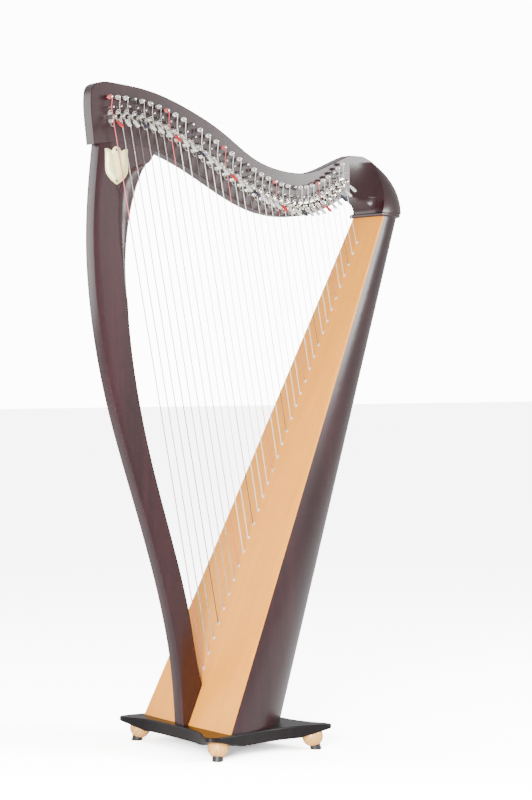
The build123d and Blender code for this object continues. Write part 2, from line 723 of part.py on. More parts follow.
def make_pivot(number):
    """Pin that the lever turns on."""
    half = HUB_HALF + AIR + EAR_THICK + 0.4
    return Pos(0, -PIVOT_OUT, 0) * Rot(0, 90, 0) * Cylinder(PIVOT_RADIUS, 2 * half)


def make_lever():
    """Lever at rest: a hub on the pivot, an arm, and a coloured grip over the arm's end."""
    hub = Rot(0, 90, 0) * Cylinder(HUB_RADIUS, 2 * HUB_HALF)
    arm = Pos(0, 0, -ARM_LENGTH / 2) * Box(ARM_WIDTH, ARM_THICK, ARM_LENGTH)
    bore = Rot(0, 90, 0) * Cylinder(PIVOT_RADIUS + FIT, 4 * HUB_HALF)
    grip = Pos(0, 0, -GRIP_START - GRIP_LENGTH / 2) * Box(GRIP_WIDTH, GRIP_THICK, GRIP_LENGTH)
    grip = fillet(grip.edges(), 1.4) - arm
    metal = hub + arm - bore
    hang = Pos(0, -PIVOT_OUT, 0) * Rot(-LEVER_REST, 0, 0)
    return hang * metal, hang * grip


def badge_centre():
    top = PILLAR_HEAD_Z - BADGE_DROP
    return Vector(HEAD_X + BADGE_PLACE, pillar_near(top), top)


def badge_outline():
    """Plain shield, X and Z from the middle of its top."""
    half = BADGE_WIDTH / 2
    low = -BADGE_HEIGHT * 0.55
    return [
        Polyline((-half, -4), (-half * 0.35, -4)),
        ThreePointArc((-half * 0.35, -4), (0, 3), (half * 0.35, -4)),
        Polyline((half * 0.35, -4), (half, -4), (half, low)),
        ThreePointArc((half, low), (half * 0.62, -BADGE_HEIGHT * 0.84), (0, -BADGE_HEIGHT)),
        ThreePointArc((0, -BADGE_HEIGHT), (-half * 0.62, -BADGE_HEIGHT * 0.84), (-half, low)),
        Polyline((-half, low), (-half, -4)),
    ]


def badge_frame():
    """Frame on the pillar's string face, with its normal pointing away from the wood."""
    lean = atan2(NECK_NEAR - PILLAR_NEAR_FOOT, PILLAR_HEAD_Z - BASE_TOP)
    return Plane(origin=badge_centre(), x_dir=(1, 0, 0), z_dir=(0, -cos(lean), sin(lean)))


def nail_places():
    return (-5.0, -BADGE_HEIGHT + 8.0)


def make_badge():
    """Plain shield-shaped plate and its two nails."""
    frame = badge_frame()
    plate = frame * extrude(make_face(badge_outline()), amount=BADGE_THICK)
    nails = []
    for height in nail_places():
        plate -= frame * Pos(0, height, 0) * Cylinder(NAIL_RADIUS + FIT, 4 * BADGE_THICK)
        shank = Pos(0, height, BADGE_THICK - NAIL_LENGTH / 2) * Cylinder(NAIL_RADIUS, NAIL_LENGTH)
        head = Pos(0, height, BADGE_THICK + 0.4) * Cylinder(2 * NAIL_RADIUS, 0.8)
        nails.append(frame * (shank + head))
    return [plate] + nails


def nail_holes():
    frame = badge_frame()
    return [frame * Pos(0, height, 0) * Cylinder(NAIL_RADIUS + FIT, 2 * NAIL_LENGTH)
            for height in nail_places()]


def write(name, pieces):
    """Writes one node, moved to the harp's own origin."""
    solids = []
    for piece in pieces:
        solids += (Pos(ORIGIN_SHIFT, 0, 0) * piece).solids()
    shape = solids[0] if len(solids) == 1 else Compound(children=solids)
    shape.label = name
    export_step(shape, os.path.join("parts", name + ".step"))


def main():
    os.makedirs("parts", exist_ok=True)
    numbers = range(1, STRINGS + 1)
    board_form = board_solid(BOARD_THICK)
    linings = make_linings()
    foot_block, head_block = make_end_blocks()
    bolt = bolt_solid()
    bolt_hole = bolt_solid(FIT, BOX_DEPTH_FOOT / 2)
    balls, tips = make_feet()
    screws = make_foot_screws()
    plate = make_base_plate()
    for head, outward in foot_heads():
        slope = Plane(origin=head, z_dir=foot_axis(outward))
        plate -= slope * Cylinder(FOOT_SCREW_RADIUS + FIT, FOOT_SCREW_LENGTH * 0.8 + 2 * FIT)
    strings = make_strings()
    shoulder = make_shoulder()
    for place in dowel_places()[2:]:
        shoulder -= dowel_solid(place, FIT)

    write("base_plate", [plate])
    write("ball_feet", balls)
    write("rubber_tips", tips)
    write("foot_screws", screws)
    write("soundboard", [make_soundboard() - bolt_hole])
    write("string_rib", [make_string_rib()])
    write("soundbox_back", [make_soundbox_back()])
    write("edge_linings", linings)
    write("back_ribs", make_back_ribs(linings))
    write("end_blocks", [foot_block - bolt_hole, head_block])
    write("pillar_bolt", [bolt])
    write("collar", [make_collar()])
    write("shoulder", [shoulder])
    write("neck", [make_neck()])
    write("pillar", [make_pillar(board_form) - nail_holes()])
    write("joint_dowels", [dowel_solid(place) for place in dowel_places()])
    write("tuning_pins", make_tuning_pins())
    write("bridge_pins", make_bridge_pins())
    write("strings_natural", strings["natural"])
    write("strings_red", strings["red"])
    write("strings_black", strings["black"])
    write("eyelets", make_eyelets())
    write("badge", make_badge())
    write("lever_brackets", [in_lever_frame(number) * make_bracket(number) for number in numbers])
    write("lever_pivots", [in_lever_frame(number) * make_pivot(number) for number in numbers])
    bracket_screws = []
    for number in numbers:
        bracket_screws += [in_lever_frame(number) * screw for screw in make_bracket_screws(number)]
    write("lever_screws", bracket_screws)
    for number in numbers:
        write("lever_%02d" % number, [in_lever_frame(number) * piece for piece in make_lever()])


if __name__ == "__main__":
    main()
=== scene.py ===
import json
from math import cos, pi, radians, sin, tan

import bmesh
import bpy
import numpy as np
from mathutils import Matrix, Vector


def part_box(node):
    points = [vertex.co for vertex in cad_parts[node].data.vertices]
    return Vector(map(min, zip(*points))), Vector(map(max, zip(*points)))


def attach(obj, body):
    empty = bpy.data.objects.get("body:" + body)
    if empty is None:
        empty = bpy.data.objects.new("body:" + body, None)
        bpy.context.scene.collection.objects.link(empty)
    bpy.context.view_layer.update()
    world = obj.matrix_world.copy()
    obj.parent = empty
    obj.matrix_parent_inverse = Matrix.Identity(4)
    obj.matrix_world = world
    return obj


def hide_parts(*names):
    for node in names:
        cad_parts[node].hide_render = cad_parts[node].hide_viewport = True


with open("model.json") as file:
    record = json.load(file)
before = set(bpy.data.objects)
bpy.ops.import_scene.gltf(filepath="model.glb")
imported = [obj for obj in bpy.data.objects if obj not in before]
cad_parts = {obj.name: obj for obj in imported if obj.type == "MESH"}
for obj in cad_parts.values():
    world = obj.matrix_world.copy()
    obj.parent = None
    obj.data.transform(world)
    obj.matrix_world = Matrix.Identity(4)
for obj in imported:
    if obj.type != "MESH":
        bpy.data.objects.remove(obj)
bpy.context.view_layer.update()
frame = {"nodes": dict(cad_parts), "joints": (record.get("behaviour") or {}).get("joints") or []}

bl_info = {
    "name": "Lever Harp",
    "version": (1, 0, 0),
    "blender": (4, 5, 0),
    "location": "3D View > Sidebar > Harp",
    "description": "Finishes a lever harp: its woods, strings, pins, levers and badge",
    "category": "Add Mesh",
}

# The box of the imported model, before anything is made.
FIXED = "harp_frame"         # the body that everything but the levers rides on

# The harp stands on Z = 0, pillar towards -X, strings and levers towards -Y. Metres.
FOOT_X = -0.174              # foot of the soundboard's front face
BASE_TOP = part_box("base_plate")[1].z
HEAD_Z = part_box("soundboard")[1].z
COLLAR_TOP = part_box("collar")[1].z
BOARD_RISE = HEAD_Z - BASE_TOP
BOARD_LEAN = radians(24.0)
BOARD_THICK = 0.005
BELLY_END = 0.003
BELLY_MID = 0.007
BOARD_LENGTH = BOARD_RISE / cos(BOARD_LEAN)
UP_BOARD = np.array([sin(BOARD_LEAN), 0.0, cos(BOARD_LEAN)])
OUT_OF_BOARD = np.array([-cos(BOARD_LEAN), 0.0, sin(BOARD_LEAN)])
HEAD_X = FOOT_X + BOARD_RISE * tan(BOARD_LEAN)

# Neck: its two faces, and its underside over the pillar, from the soundboard's head
NECK_NEAR = 0.005
NECK_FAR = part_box("neck")[1].y
NECK_THICK = NECK_FAR - NECK_NEAR
NECK_END_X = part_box("neck")[1].x
NECK_END_TOP = HEAD_Z + 0.1385
NECK_END_UNDER = HEAD_Z + 0.045
NECK_UNDER_PILLAR = ((-0.720, 0.127), (-0.671, 0.1325), (-0.608, 0.130), (-0.545, 0.114), (-0.474, 0.084))

# Pillar: each point is a share of its height and a bow from the line between its ends
PILLAR_THICK = 0.034
PILLAR_NEAR_FOOT = -0.018
PILLAR_REACH = 0.012
PILLAR_FRONT_FOOT = -0.018
PILLAR_FRONT_HEAD = -0.7035
PILLAR_FRONT_BOW = ((0.0, 0.0), (0.10, 9.5), (0.214, 4.0), (0.393, -27.5), (0.562, -59.0),
                    (0.723, -64.0), (0.837, -49.0), (1.0, 0.0))
PILLAR_BACK_FOOT = 0.060
PILLAR_BACK_HEAD = -0.556
PILLAR_BACK_BOW = ((0.0, 0.0), (0.076, -21.5), (0.182, -34.0), (0.324, -62.5), (0.475, -98.0),
                   (0.60, -115.0), (0.732, -115.5), (0.828, -99.0), (0.902, -71.5), (0.96, -34.0),
                   (1.0, 0.0))
# hollow in the pillar's inner edge: height over the floor and its border's X from the board's foot
HOLLOW_LINE = ((0.950, -0.1440), (0.988, -0.151), (1.025, -0.155), (1.093, -0.164), (1.168, -0.166),
               (1.204, -0.162), (1.240, -0.142), (1.256, -0.115), (1.266, -0.084))
HOLLOW_DEPTH = 0.010

# Shoulder
SHOULDER_HALF = 0.056
SHOULDER_FRONT = HEAD_X - 0.0005
SHOULDER_DEPTH = 0.100
ARCH_FLARE = 0.022

# Strings: the places of every seventh string and of the last, X and Z from the soundboard's head
STRINGS = 34
FIRST_EYELET = 0.127
GAP_BASS = 0.0344
GAP_TREBLE = 0.0276
STRING_Y = -0.008
OCTAVE_STRINGS = (1, 8, 15, 22, 29, 34)
TUNING_ROW = ((-0.6845, 0.2270), (-0.5435, 0.2075), (-0.3975, 0.1365), (-0.2625, 0.0690),
              (-0.1465, 0.0705), (-0.0775, 0.1170))
BRIDGE_ROW = ((-0.6805, 0.2060), (-0.5375, 0.1840), (-0.3935, 0.1080), (-0.2585, 0.0460),
              (-0.1395, 0.0500), (-0.0735, 0.0970))
STRING_RIB = 0.005
KNOT = 0.0026
WINDING = 0.0007             # pitch of a wound string's ridges
WOUND_STRINGS = 8
EYELET_LIFT = 0.00025

# Hardware
TUNING_RADIUS = 0.0029
TUNING_NEAR = 0.018          # near end of a tuning pin beyond the neck
TUNING_FAR = 0.017
BRIDGE_RADIUS = 0.0019
BRIDGE_OUT = 0.017
PIVOT_OUT = 0.0049
LEVER_REST = radians(48.0)
BADGE_DROP = 0.010
BADGE_SHOULDER = 0.034       # from the badge's top to where its sides start to draw in
BADGE_NAILS = (-0.005, -0.070)
BADGE_X = HEAD_X - 0.664

# Stage: each light's name, place, the point that it faces, its size and its share of the key's power
LIGHTS = (("key_light", (2.3, -2.2, 1.75), (0.0, 0.0, 0.8), (1.1, 1.1), 1.0),
          ("left_rear_light", (-1.8, 2.1, 1.3), (-0.35, 0.0, 1.1), (1.6, 1.3), 0.22),
          ("board_light", (-1.7, -1.5, 0.5), (0.1, -0.05, 0.45), (0.9, 0.9), 1.0))
FLOOR_SHARE = 0.6            # how strongly the camera sees the floor, as a share of the backdrop
FLOOR_REACH = 30.0
CAMERA_PLACE = (-2.7697, -4.0092, 0.83845)
CAMERA_YAW = radians(35.0)
CAMERA_PITCH = radians(-1.0205)
CAMERA_LENS = 99.85          # millimetres, on a sensor 36 wide


# ---------------------------------------------------------------- sizes and colours

class HarpWoods(bpy.types.PropertyGroup):
    """Colours of the harp's woods."""
    stain: bpy.props.FloatVectorProperty(
        name="Stain", description="Colour of the stained neck, pillar and soundbox",
        subtype="COLOR", size=3, min=0.0, max=1.0, default=(0.022, 0.0045, 0.0065))
    base: bpy.props.FloatVectorProperty(
        name="Base", description="Colour of the base plate",
        subtype="COLOR", size=3, min=0.0, max=1.0, default=(0.006, 0.004, 0.0045))
    spruce: bpy.props.FloatVectorProperty(
        name="Spruce", description="Colour of the soundboard",
        subtype="COLOR", size=3, min=0.0, max=1.0, default=(0.92, 0.36, 0.035))
    maple: bpy.props.FloatVectorProperty(
        name="Maple", description="Colour of the ball feet",
        subtype="COLOR", size=3, min=0.0, max=1.0, default=(0.80, 0.40, 0.10))
    gloss: bpy.props.FloatProperty(
        name="Lacquer roughness", description="Roughness of the clear lacquer",
        subtype="FACTOR", min=0.02, max=1.0, default=0.22)


class HarpStrings(bpy.types.PropertyGroup):
    """Sizes and colours of the strings."""
    bass_radius: bpy.props.FloatProperty(
        name="Bass radius", description="Radius of the lowest string",
        unit="LENGTH", min=0.0003, max=0.002, default=0.0011, precision=5)
    treble_radius: bpy.props.FloatProperty(
        name="Treble radius", description="Radius of the highest string",
        unit="LENGTH", min=0.0002, max=0.001, default=0.00055, precision=5)
    clear: bpy.props.FloatVectorProperty(
        name="Clear", description="Colour of the plain strings",
        subtype="COLOR", size=3, min=0.0, max=1.0, default=(0.70, 0.70, 0.66))
    red: bpy.props.FloatVectorProperty(
        name="Red", description="Colour of the C strings",
        subtype="COLOR", size=3, min=0.0, max=1.0, default=(0.42, 0.02, 0.05))
    black: bpy.props.FloatVectorProperty(
        name="Black", description="Colour of the F strings",
        subtype="COLOR", size=3, min=0.0, max=1.0, default=(0.012, 0.012, 0.016))


class HarpHardware(bpy.types.PropertyGroup):
    """Colours of the metal and plastic pieces."""
    nickel: bpy.props.FloatVectorProperty(
        name="Nickel", description="Colour of the pins, brackets and levers",
        subtype="COLOR", size=3, min=0.0, max=1.0, default=(0.80, 0.77, 0.72))
    brass: bpy.props.FloatVectorProperty(
        name="Brass", description="Colour of the badge",
        subtype="COLOR", size=3, min=0.0, max=1.0, default=(0.93, 0.84, 0.42))
    pale_grip: bpy.props.FloatVectorProperty(
        name="Pale grip", description="Colour of most lever grips",
        subtype="COLOR", size=3, min=0.0, max=1.0, default=(0.72, 0.71, 0.69))
    red_grip: bpy.props.FloatVectorProperty(
        name="Red grip", description="Colour of the C levers' grips",
        subtype="COLOR", size=3, min=0.0, max=1.0, default=(0.55, 0.012, 0.018))
    dark_grip: bpy.props.FloatVectorProperty(
        name="Dark grip", description="Colour of the F levers' grips",
        subtype="COLOR", size=3, min=0.0, max=1.0, default=(0.018, 0.022, 0.038))


class HarpStage(bpy.types.PropertyGroup):
    """Floor and light."""
    floor: bpy.props.FloatVectorProperty(
        name="Floor", description="Colour of the floor",
        subtype="COLOR", size=3, min=0.0, max=1.0, default=(0.88, 0.88, 0.88))
    sky: bpy.props.FloatProperty(
        name="Surround", description="Strength of the white surround",
        min=0.0, max=4.0, default=0.9)
    backdrop: bpy.props.FloatProperty(
        name="Backdrop", description="Strength at which the camera sees the surround",
        min=1.0, max=30.0, default=13.0)
    key: bpy.props.FloatProperty(
        name="Key light", description="Power of the main light",
        unit="POWER", min=0.0, max=2000.0, default=110.0)


# ---------------------------------------------------------------- surfaces

def as_points(*columns):
    """Columns side by side as points. A single number is repeated to fit the others."""
    return np.stack(np.broadcast_arrays(*columns), axis=-1)


def lattice(points, ring=False, lids=False):
    """Faces over a grid of points, given as (points, quads, triangles).

    Row i joins row i + 1. With ring, each row closes on itself. With lids, the first and last rows
    are closed by a fan round their middle point.
    """
    points = np.asarray(points, dtype=float)
    rows, across = points.shape[:2]
    index = np.arange(rows * across).reshape(rows, across)
    if ring:
        index = np.hstack([index, index[:, :1]])
    quads = np.stack([index[:-1, :-1], index[:-1, 1:], index[1:, 1:], index[1:, :-1]], axis=-1)
    spots = points.reshape(-1, 3)
    fans = np.empty((0, 3), dtype=int)
    if lids:
        spots = np.vstack([spots, points[0].mean(axis=0), points[-1].mean(axis=0)])
        low = np.full(index.shape[1] - 1, rows * across)
        high = low + 1
        fans = np.vstack([np.stack([index[0, 1:], index[0, :-1], low], axis=-1),
                          np.stack([index[-1, :-1], index[-1, 1:], high], axis=-1)])
    return spots, quads.reshape(-1, 4), fans


def gather(surfaces):
    """Several surfaces as one."""
    starts = np.cumsum([0] + [len(s[0]) for s in surfaces[:-1]])
    return (np.vstack([s[0] for s in surfaces]),
            np.vstack([s[1] + k for s, k in zip(surfaces, starts)]),
            np.vstack([s[2] + k for s, k in zip(surfaces, starts)]))


def repeat(surface, turns, places):
    """Copies of a surface: copy k is turned by the matrix turns[k] and moved to places[k]."""
    spots, quads, fans = surface
    turns = np.asarray(turns, dtype=float)
    places = np.asarray(places, dtype=float)
    moved = np.einsum("kij,nj->kni", turns, spots) + places[:, None, :]
    shift = np.arange(len(places))[:, None, None] * len(spots)
    return moved.reshape(-1, 3), (quads[None] + shift).reshape(-1, 4), (fans[None] + shift).reshape(-1, 3)


def turned(profile, sides=20, lids=True):
    """Surface of revolution round Z: profile lists (radius, height), and lids close both ends."""
    radius, height = np.array(profile, dtype=float).T[:, :, None]
    angle = np.linspace(0, 2 * pi, sides, endpoint=False)
    return lattice(as_points(radius * np.cos(angle), radius * np.sin(angle), height), True, lids)


def tube(path, radius, sides=8, first_side=(0.0, 1.0, 0.0)):
    """Round bar along a path of points.

    Each ring is square to the path's own direction there, and its first side is the given
    direction with its part along the path taken off.
    """
    path = np.asarray(path, dtype=float)
    along = np.gradient(path, axis=0)
    along /= np.linalg.norm(along, axis=1, keepdims=True)
    side = np.asarray(first_side, dtype=float)[None] - along * (along @ np.asarray(first_side))[:, None]
    side /= np.linalg.norm(side, axis=1, keepdims=True)
    other = np.cross(along, side)
    angle = np.linspace(0, 2 * pi, sides, endpoint=False)
    reach = np.broadcast_to(np.asarray(radius, dtype=float), (len(path),))[:, None, None]
    rings = path[:, None] + reach * (np.cos(angle)[None, :, None] * side[:, None]
                                     + np.sin(angle)[None, :, None] * other[:, None])
    return lattice(rings, ring=True, lids=True)


def rounded(width, depth, corner, steps=4):
    """Rounded rectangle round the origin: four quarter circles at its corners."""
    corner = min(corner, width / 2 - 1e-5, depth / 2 - 1e-5)
    quarter = np.linspace(0, pi / 2, steps + 1)
    outline = []
    for turn, (sx, sy) in enumerate(((1, 1), (-1, 1), (-1, -1), (1, -1))):
        angle = quarter + turn * pi / 2
        middle = np.array([sx * (width / 2 - corner), sy * (depth / 2 - corner)])
        outline.append(middle + corner * as_points(np.cos(angle), np.sin(angle)))
    return np.vstack(outline)


def rounded_bar(sizes, corner_share, steps=4):
    """Bar of rounded rectangles: sizes lists (distance along -Z, width, depth)."""
    rows = [as_points(*rounded(wide, deep, deep * corner_share, steps).T, -reach)
            for reach, wide, deep in sizes]
    return lattice(rows, ring=True, lids=True)


def with_columns(surface, columns):
    """A surface with its coordinates put in another order."""
    spots, quads, fans = surface
    return spots[:, columns], quads, fans


def plate(outline, thick, edge):
    """Plate over an outline in X and Y, from Z = 0 to thick, its rims eased by a small edge.

    Four copies of the outline are stacked, and the first and last are drawn in towards its middle.
    """
    outline = np.asarray(outline, dtype=float)
    middle = outline.mean(axis=0)
    away = outline - middle
    inset = middle + away * (1 - edge / np.linalg.norm(away, axis=1, keepdims=True))
    levels = ((inset, 0.0), (outline, edge), (outline, thick - edge), (inset, thick))
    rows = [as_points(*line.T, height) for line, height in levels]
    return lattice(rows, ring=True, lids=True)


def smooth_curve(knots, values, at):
    """Natural cubic spline through the values at the knots, worked out at the given places.

    The second slopes come from the usual three-term equations, with none at the two ends.
    """
    knots, values, at = (np.asarray(a, dtype=float) for a in (knots, values, at))
    gap = np.diff(knots)
    slope = np.diff(values) / gap
    system = np.eye(len(knots))
    answer = np.zeros(len(knots))
    for k in range(1, len(knots) - 1):
        system[k, k - 1:k + 2] = gap[k - 1], 2 * (gap[k - 1] + gap[k]), gap[k]
        answer[k] = 6 * (slope[k] - slope[k - 1])
    bend = np.linalg.solve(system, answer)
    k = np.clip(np.searchsorted(knots, at) - 1, 0, len(gap) - 1)
    left, right = at - knots[k], knots[k + 1] - at
    return ((bend[k] * right ** 3 + bend[k + 1] * left ** 3) / (6 * gap[k])
            + (values[k] / gap[k] - bend[k] * gap[k] / 6) * right
            + (values[k + 1] / gap[k] - bend[k + 1] * gap[k] / 6) * left)


def make_piece(name, parts, body, stands_for=(), crisp=35.0, along=None):
    """A mesh object from (surface, material) pairs, its faces pointing outwards.

    It rides on a body, stands for CAD nodes, and takes each surface's material from its pair. Edges
    sharper than crisp degrees stay sharp. along is a number for each point, kept for the material.
    """
    spots, quads, fans = gather([surface for surface, _ in parts])
    mesh = bpy.data.meshes.new(name)
    mesh.from_pydata(spots.tolist(), [], quads.tolist() + fans.tolist())
    kinds = []
    for finish in [finish for _, finish in parts]:
        if finish not in kinds:
            kinds.append(finish)
            mesh.materials.append(finish)
    four = [np.full(len(surface[1]), kinds.index(finish)) for surface, finish in parts]
    three = [np.full(len(surface[2]), kinds.index(finish)) for surface, finish in parts]
    mesh.polygons.foreach_set("material_index", np.concatenate(four + three))
    if along is not None:
        mesh.attributes.new("along", "FLOAT", "POINT").data.foreach_set("value", along)
    work = bmesh.new()
    work.from_mesh(mesh)
    bmesh.ops.remove_doubles(work, verts=work.verts, dist=1e-7)
    bmesh.ops.recalc_face_normals(work, faces=work.faces)
    work.to_mesh(mesh)
    work.free()
    mesh.polygons.foreach_set("use_smooth", np.ones(len(mesh.polygons), dtype=bool))
    mesh.set_sharp_from_angle(angle=radians(crisp))
    mesh.update()
    piece = bpy.data.objects.new(name, mesh)
    bpy.context.scene.collection.objects.link(piece)
    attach(piece, body)
    if stands_for:
        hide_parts(*stands_for)
    return piece


def finish_node(node, material):
    """Gives a CAD node its material."""
    data = frame["nodes"][node].data
    data.materials.clear()
    data.materials.append(material)


# ---------------------------------------------------------------- materials

class Recipe:
    """A material in the making: its nodes, and its Principled shader."""

    def __init__(self, name):
        self.material = bpy.data.materials.new(name)
        self.material.use_nodes = True
        self.tree = self.material.node_tree
        self.tree.nodes.clear()
        self.shader = self.add("ShaderNodeBsdfPrincipled")
        self.output = self.add("ShaderNodeOutputMaterial")
        self.join(self.shader, "BSDF", self.output, "Surface")

    def add(self, kind, settings=None, **values):
        node = self.tree.nodes.new(kind)
        for key, value in (settings or {}).items():
            setattr(node, key, value)
        for key, value in values.items():
            node.inputs[key.replace("_", " ")].default_value = value
        return node

    def join(self, source, output, target, socket):
        self.tree.links.new(source.outputs[output], target.inputs[socket])

    def place(self, scale, turn=(0.0, 0.0, 0.0)):
        """Object coordinates, turned and scaled."""
        spot = self.add("ShaderNodeTexCoord")
        mapping = self.add("ShaderNodeMapping", Scale=scale, Rotation=turn)
        self.join(spot, "Object", mapping, "Vector")
        return mapping

    def noise(self, where, scale, detail=4.0, roughness=0.55, distortion=0.0):
        noise = self.add("ShaderNodeTexNoise", Scale=scale, Detail=detail, Roughness=roughness,
                         Distortion=distortion)
        self.join(where, "Vector", noise, "Vector")
        return noise

    def ramp(self, source, output, stops):
        """Colour ramp over (position, colour) stops."""
        ramp = self.add("ShaderNodeValToRGB")
        while len(ramp.color_ramp.elements) < len(stops):
            ramp.color_ramp.elements.new(0.5)
        for element, (position, colour) in zip(ramp.color_ramp.elements, stops):
            element.position = position
            element.color = (*colour, 1.0)
        self.join(source, output, ramp, "Fac")
        return ramp

    def spread(self, source, output, low, high, target, socket):
        """Sends a value, spread from low to high, to a socket."""
        node = self.add("ShaderNodeMapRange", To_Min=low, To_Max=high)
        self.join(source, output, node, "Value")
        self.join(node, "Result", target, socket)

    def multiply(self, first, second, share):
        """A ramp's colour with a share of a second ramp's colour multiplied in, to the base colour."""
        mixer = self.add("ShaderNodeMix", {"data_type": "RGBA", "blend_type": "MULTIPLY"})
        mixer.inputs[0].default_value = share
        self.tree.links.new(first.outputs["Color"], mixer.inputs[6])
        self.tree.links.new(second.outputs["Color"], mixer.inputs[7])
        self.tree.links.new(mixer.outputs[2], self.shader.inputs["Base Color"])

    def bump(self, source, output, height, strength=1.0):
        bump = self.add("ShaderNodeBump", Strength=strength, Distance=height)
        self.join(source, output, bump, "Height")
        self.join(bump, "Normal", self.shader, "Normal")

    def skin(self, marks, colours, rough, height, strength):
        """Colour, roughness and a fine relief, each over its own range of one noise."""
        tone = self.ramp(marks, "Fac", tuple(zip((0.3, 0.7), colours)))
        self.join(tone, "Color", self.shader, "Base Color")
        self.spread(marks, "Fac", *rough, self.shader, "Roughness")
        self.bump(marks, "Fac", height, strength)

    def coat(self, weight, rough):
        self.shader.inputs["Coat Weight"].default_value = weight
        self.shader.inputs["Coat Roughness"].default_value = rough


def shade(colour, by):
    """A colour made lighter or darker."""
    return tuple(min(1.0, channel * by) for channel in colour)


def stained_wood(name, colour, gloss, turn=(0.0, 0.0, 0.0), figure=1.0, lacquer=0.55):
    """Close-grained wood under a coloured stain and clear lacquer.

    Long soft streaks run along the grain, fine pores are drawn out along it, and the lacquer's gloss
    varies faintly. The grain runs along Z before the turn.
    """
    wood = Recipe(name)
    streaks = wood.noise(wood.place((26.0, 26.0, 1.6), turn), 1.0, 5.0, 0.62, 0.35)
    colours = wood.ramp(streaks, "Fac", ((0.25, shade(colour, 1 - 0.42 * figure)), (0.5, colour),
                                         (0.78, shade(colour, 1 + 0.55 * figure))))
    pores = wood.noise(wood.place((900.0, 900.0, 40.0), turn), 1.0, 3.0, 0.6)
    holes = wood.ramp(pores, "Fac", ((0.36, (0.45, 0.42, 0.42)), (0.5, (1.0, 1.0, 1.0))))
    wood.multiply(colours, holes, 0.5)
    cloud = wood.noise(wood.place((9.0, 9.0, 9.0)), 1.0, 3.0)
    wood.spread(cloud, "Fac", gloss + 0.10, gloss + 0.26, wood.shader, "Roughness")
    wood.bump(pores, "Fac", 0.00012, 0.35)
    wood.shader.inputs["Specular IOR Level"].default_value = 0.2
    wood.coat(lacquer, gloss)
    return wood.material


def spruce_wood(name, colour):
    """Pale spruce: straight fine growth lines along the board, and broad shifts of tone across it."""
    wood = Recipe(name)
    lean = (0.0, -BOARD_LEAN, 0.0)
    lines = wood.noise(wood.place((20.0, 420.0, 2.2), lean), 1.0, 2.5, 0.5)
    bands = wood.noise(wood.place((3.0, 14.0, 0.7), lean), 1.0, 4.0, 0.6)
    tone = wood.ramp(bands, "Fac", ((0.3, shade(colour, 0.93)), (0.7, shade(colour, 1.06))))
    grain = wood.ramp(lines, "Fac", ((0.38, (0.86, 0.76, 0.64)), (0.6, (1.0, 1.0, 1.0))))
    wood.multiply(tone, grain, 0.45)
    wood.spread(bands, "Fac", 0.34, 0.46, wood.shader, "Roughness")
    wood.bump(lines, "Fac", 0.0001, 0.2)
    wood.shader.inputs["Specular IOR Level"].default_value = 0.15
    return wood.material


def plain_maple(name, colour):
    """Turned maple: faint curved growth rings, and tiny flecks in its gloss and relief, under a thin
    varnish.
    """
    wood = Recipe(name)
    rings = wood.add("ShaderNodeTexWave", {"wave_type": "RINGS", "rings_direction": "Y"},
                     Scale=1.0, Distortion=2.0, Detail=3.0)
    where = wood.place((42.0, 30.0, 42.0), (0.4, 0.2, 0.0))
    wood.join(where, "Vector", rings, "Vector")
    tone = wood.ramp(rings, "Fac", ((0.0, shade(colour, 0.86)), (0.55, colour), (1.0, shade(colour, 1.12))))
    flecks = wood.noise(wood.place((500.0, 500.0, 120.0)), 1.0, 2.0)
    wood.join(tone, "Color", wood.shader, "Base Color")
    wood.spread(flecks, "Fac", 0.28, 0.5, wood.shader, "Roughness")
    wood.bump(flecks, "Fac", 0.00008, 0.3)
    wood.coat(0.35, 0.18)
    return wood.material


def polished_metal(name, colour, rough=0.16, brushed=False):
    """Plated or bare metal: small shifts of polish, and fine marks that follow one direction when brushed.
    """
    metal = Recipe(name)
    scale = (900.0, 60.0, 900.0) if brushed else (160.0, 160.0, 160.0)
    marks = metal.noise(metal.place(scale), 1.0, 4.0, 0.6)
    metal.skin(marks, (shade(colour, 0.9), shade(colour, 1.05)), (rough * 0.7, rough * 1.5), 0.00004, 0.25)
    metal.shader.inputs["Metallic"].default_value = 1.0
    return metal.material


def moulded(name, colour, rough=0.25, clear=0.3):
    """Moulded plastic: an even colour with faint clouding and a slightly uneven gloss."""
    plastic = Recipe(name)
    cloud = plastic.noise(plastic.place((220.0, 220.0, 220.0)), 1.0, 3.0)
    plastic.skin(cloud, (shade(colour, 0.93), shade(colour, 1.05)), (rough * 0.8, rough * 1.3), 0.00005, 0.2)
    plastic.coat(clear, 0.1)
    return plastic.material


def cast_rubber(name):
    """Black rubber: fine pitted skin with a dull sheen."""
    rubber = Recipe(name)
    pits = rubber.noise(rubber.place((1400.0, 1400.0, 1400.0)), 1.0, 3.0)
    rubber.skin(pits, ((0.010, 0.010, 0.011), (0.024, 0.024, 0.025)), (0.32, 0.52), 0.0001, 0.4)
    return rubber.material


def string_gut(name, colour, metallic=0.0, winding=0.0):
    """A string. Wound strings have fine ridges round them, read from the distance along the string."""
    gut = Recipe(name)
    far = gut.add("ShaderNodeAttribute", {"attribute_name": "along"})
    scale = gut.add("ShaderNodeMath", {"operation": "MULTIPLY"})
    gut.join(far, "Fac", scale, 0)
    scale.inputs[1].default_value = 2 * pi / WINDING
    wave = gut.add("ShaderNodeMath", {"operation": "SINE"})
    gut.join(scale, "Value", wave, 0)
    mottle = gut.noise(gut.place((300.0, 300.0, 60.0)), 1.0, 3.0)
    tone = gut.ramp(mottle, "Fac", ((0.3, shade(colour, 0.88)), (0.7, shade(colour, 1.08))))
    gut.join(tone, "Color", gut.shader, "Base Color")
    gut.spread(mottle, "Fac", 0.22, 0.36, gut.shader, "Roughness")
    gut.bump(wave, "Value", 0.00012, winding)
    gut.shader.inputs["Metallic"].default_value = metallic
    return gut.material


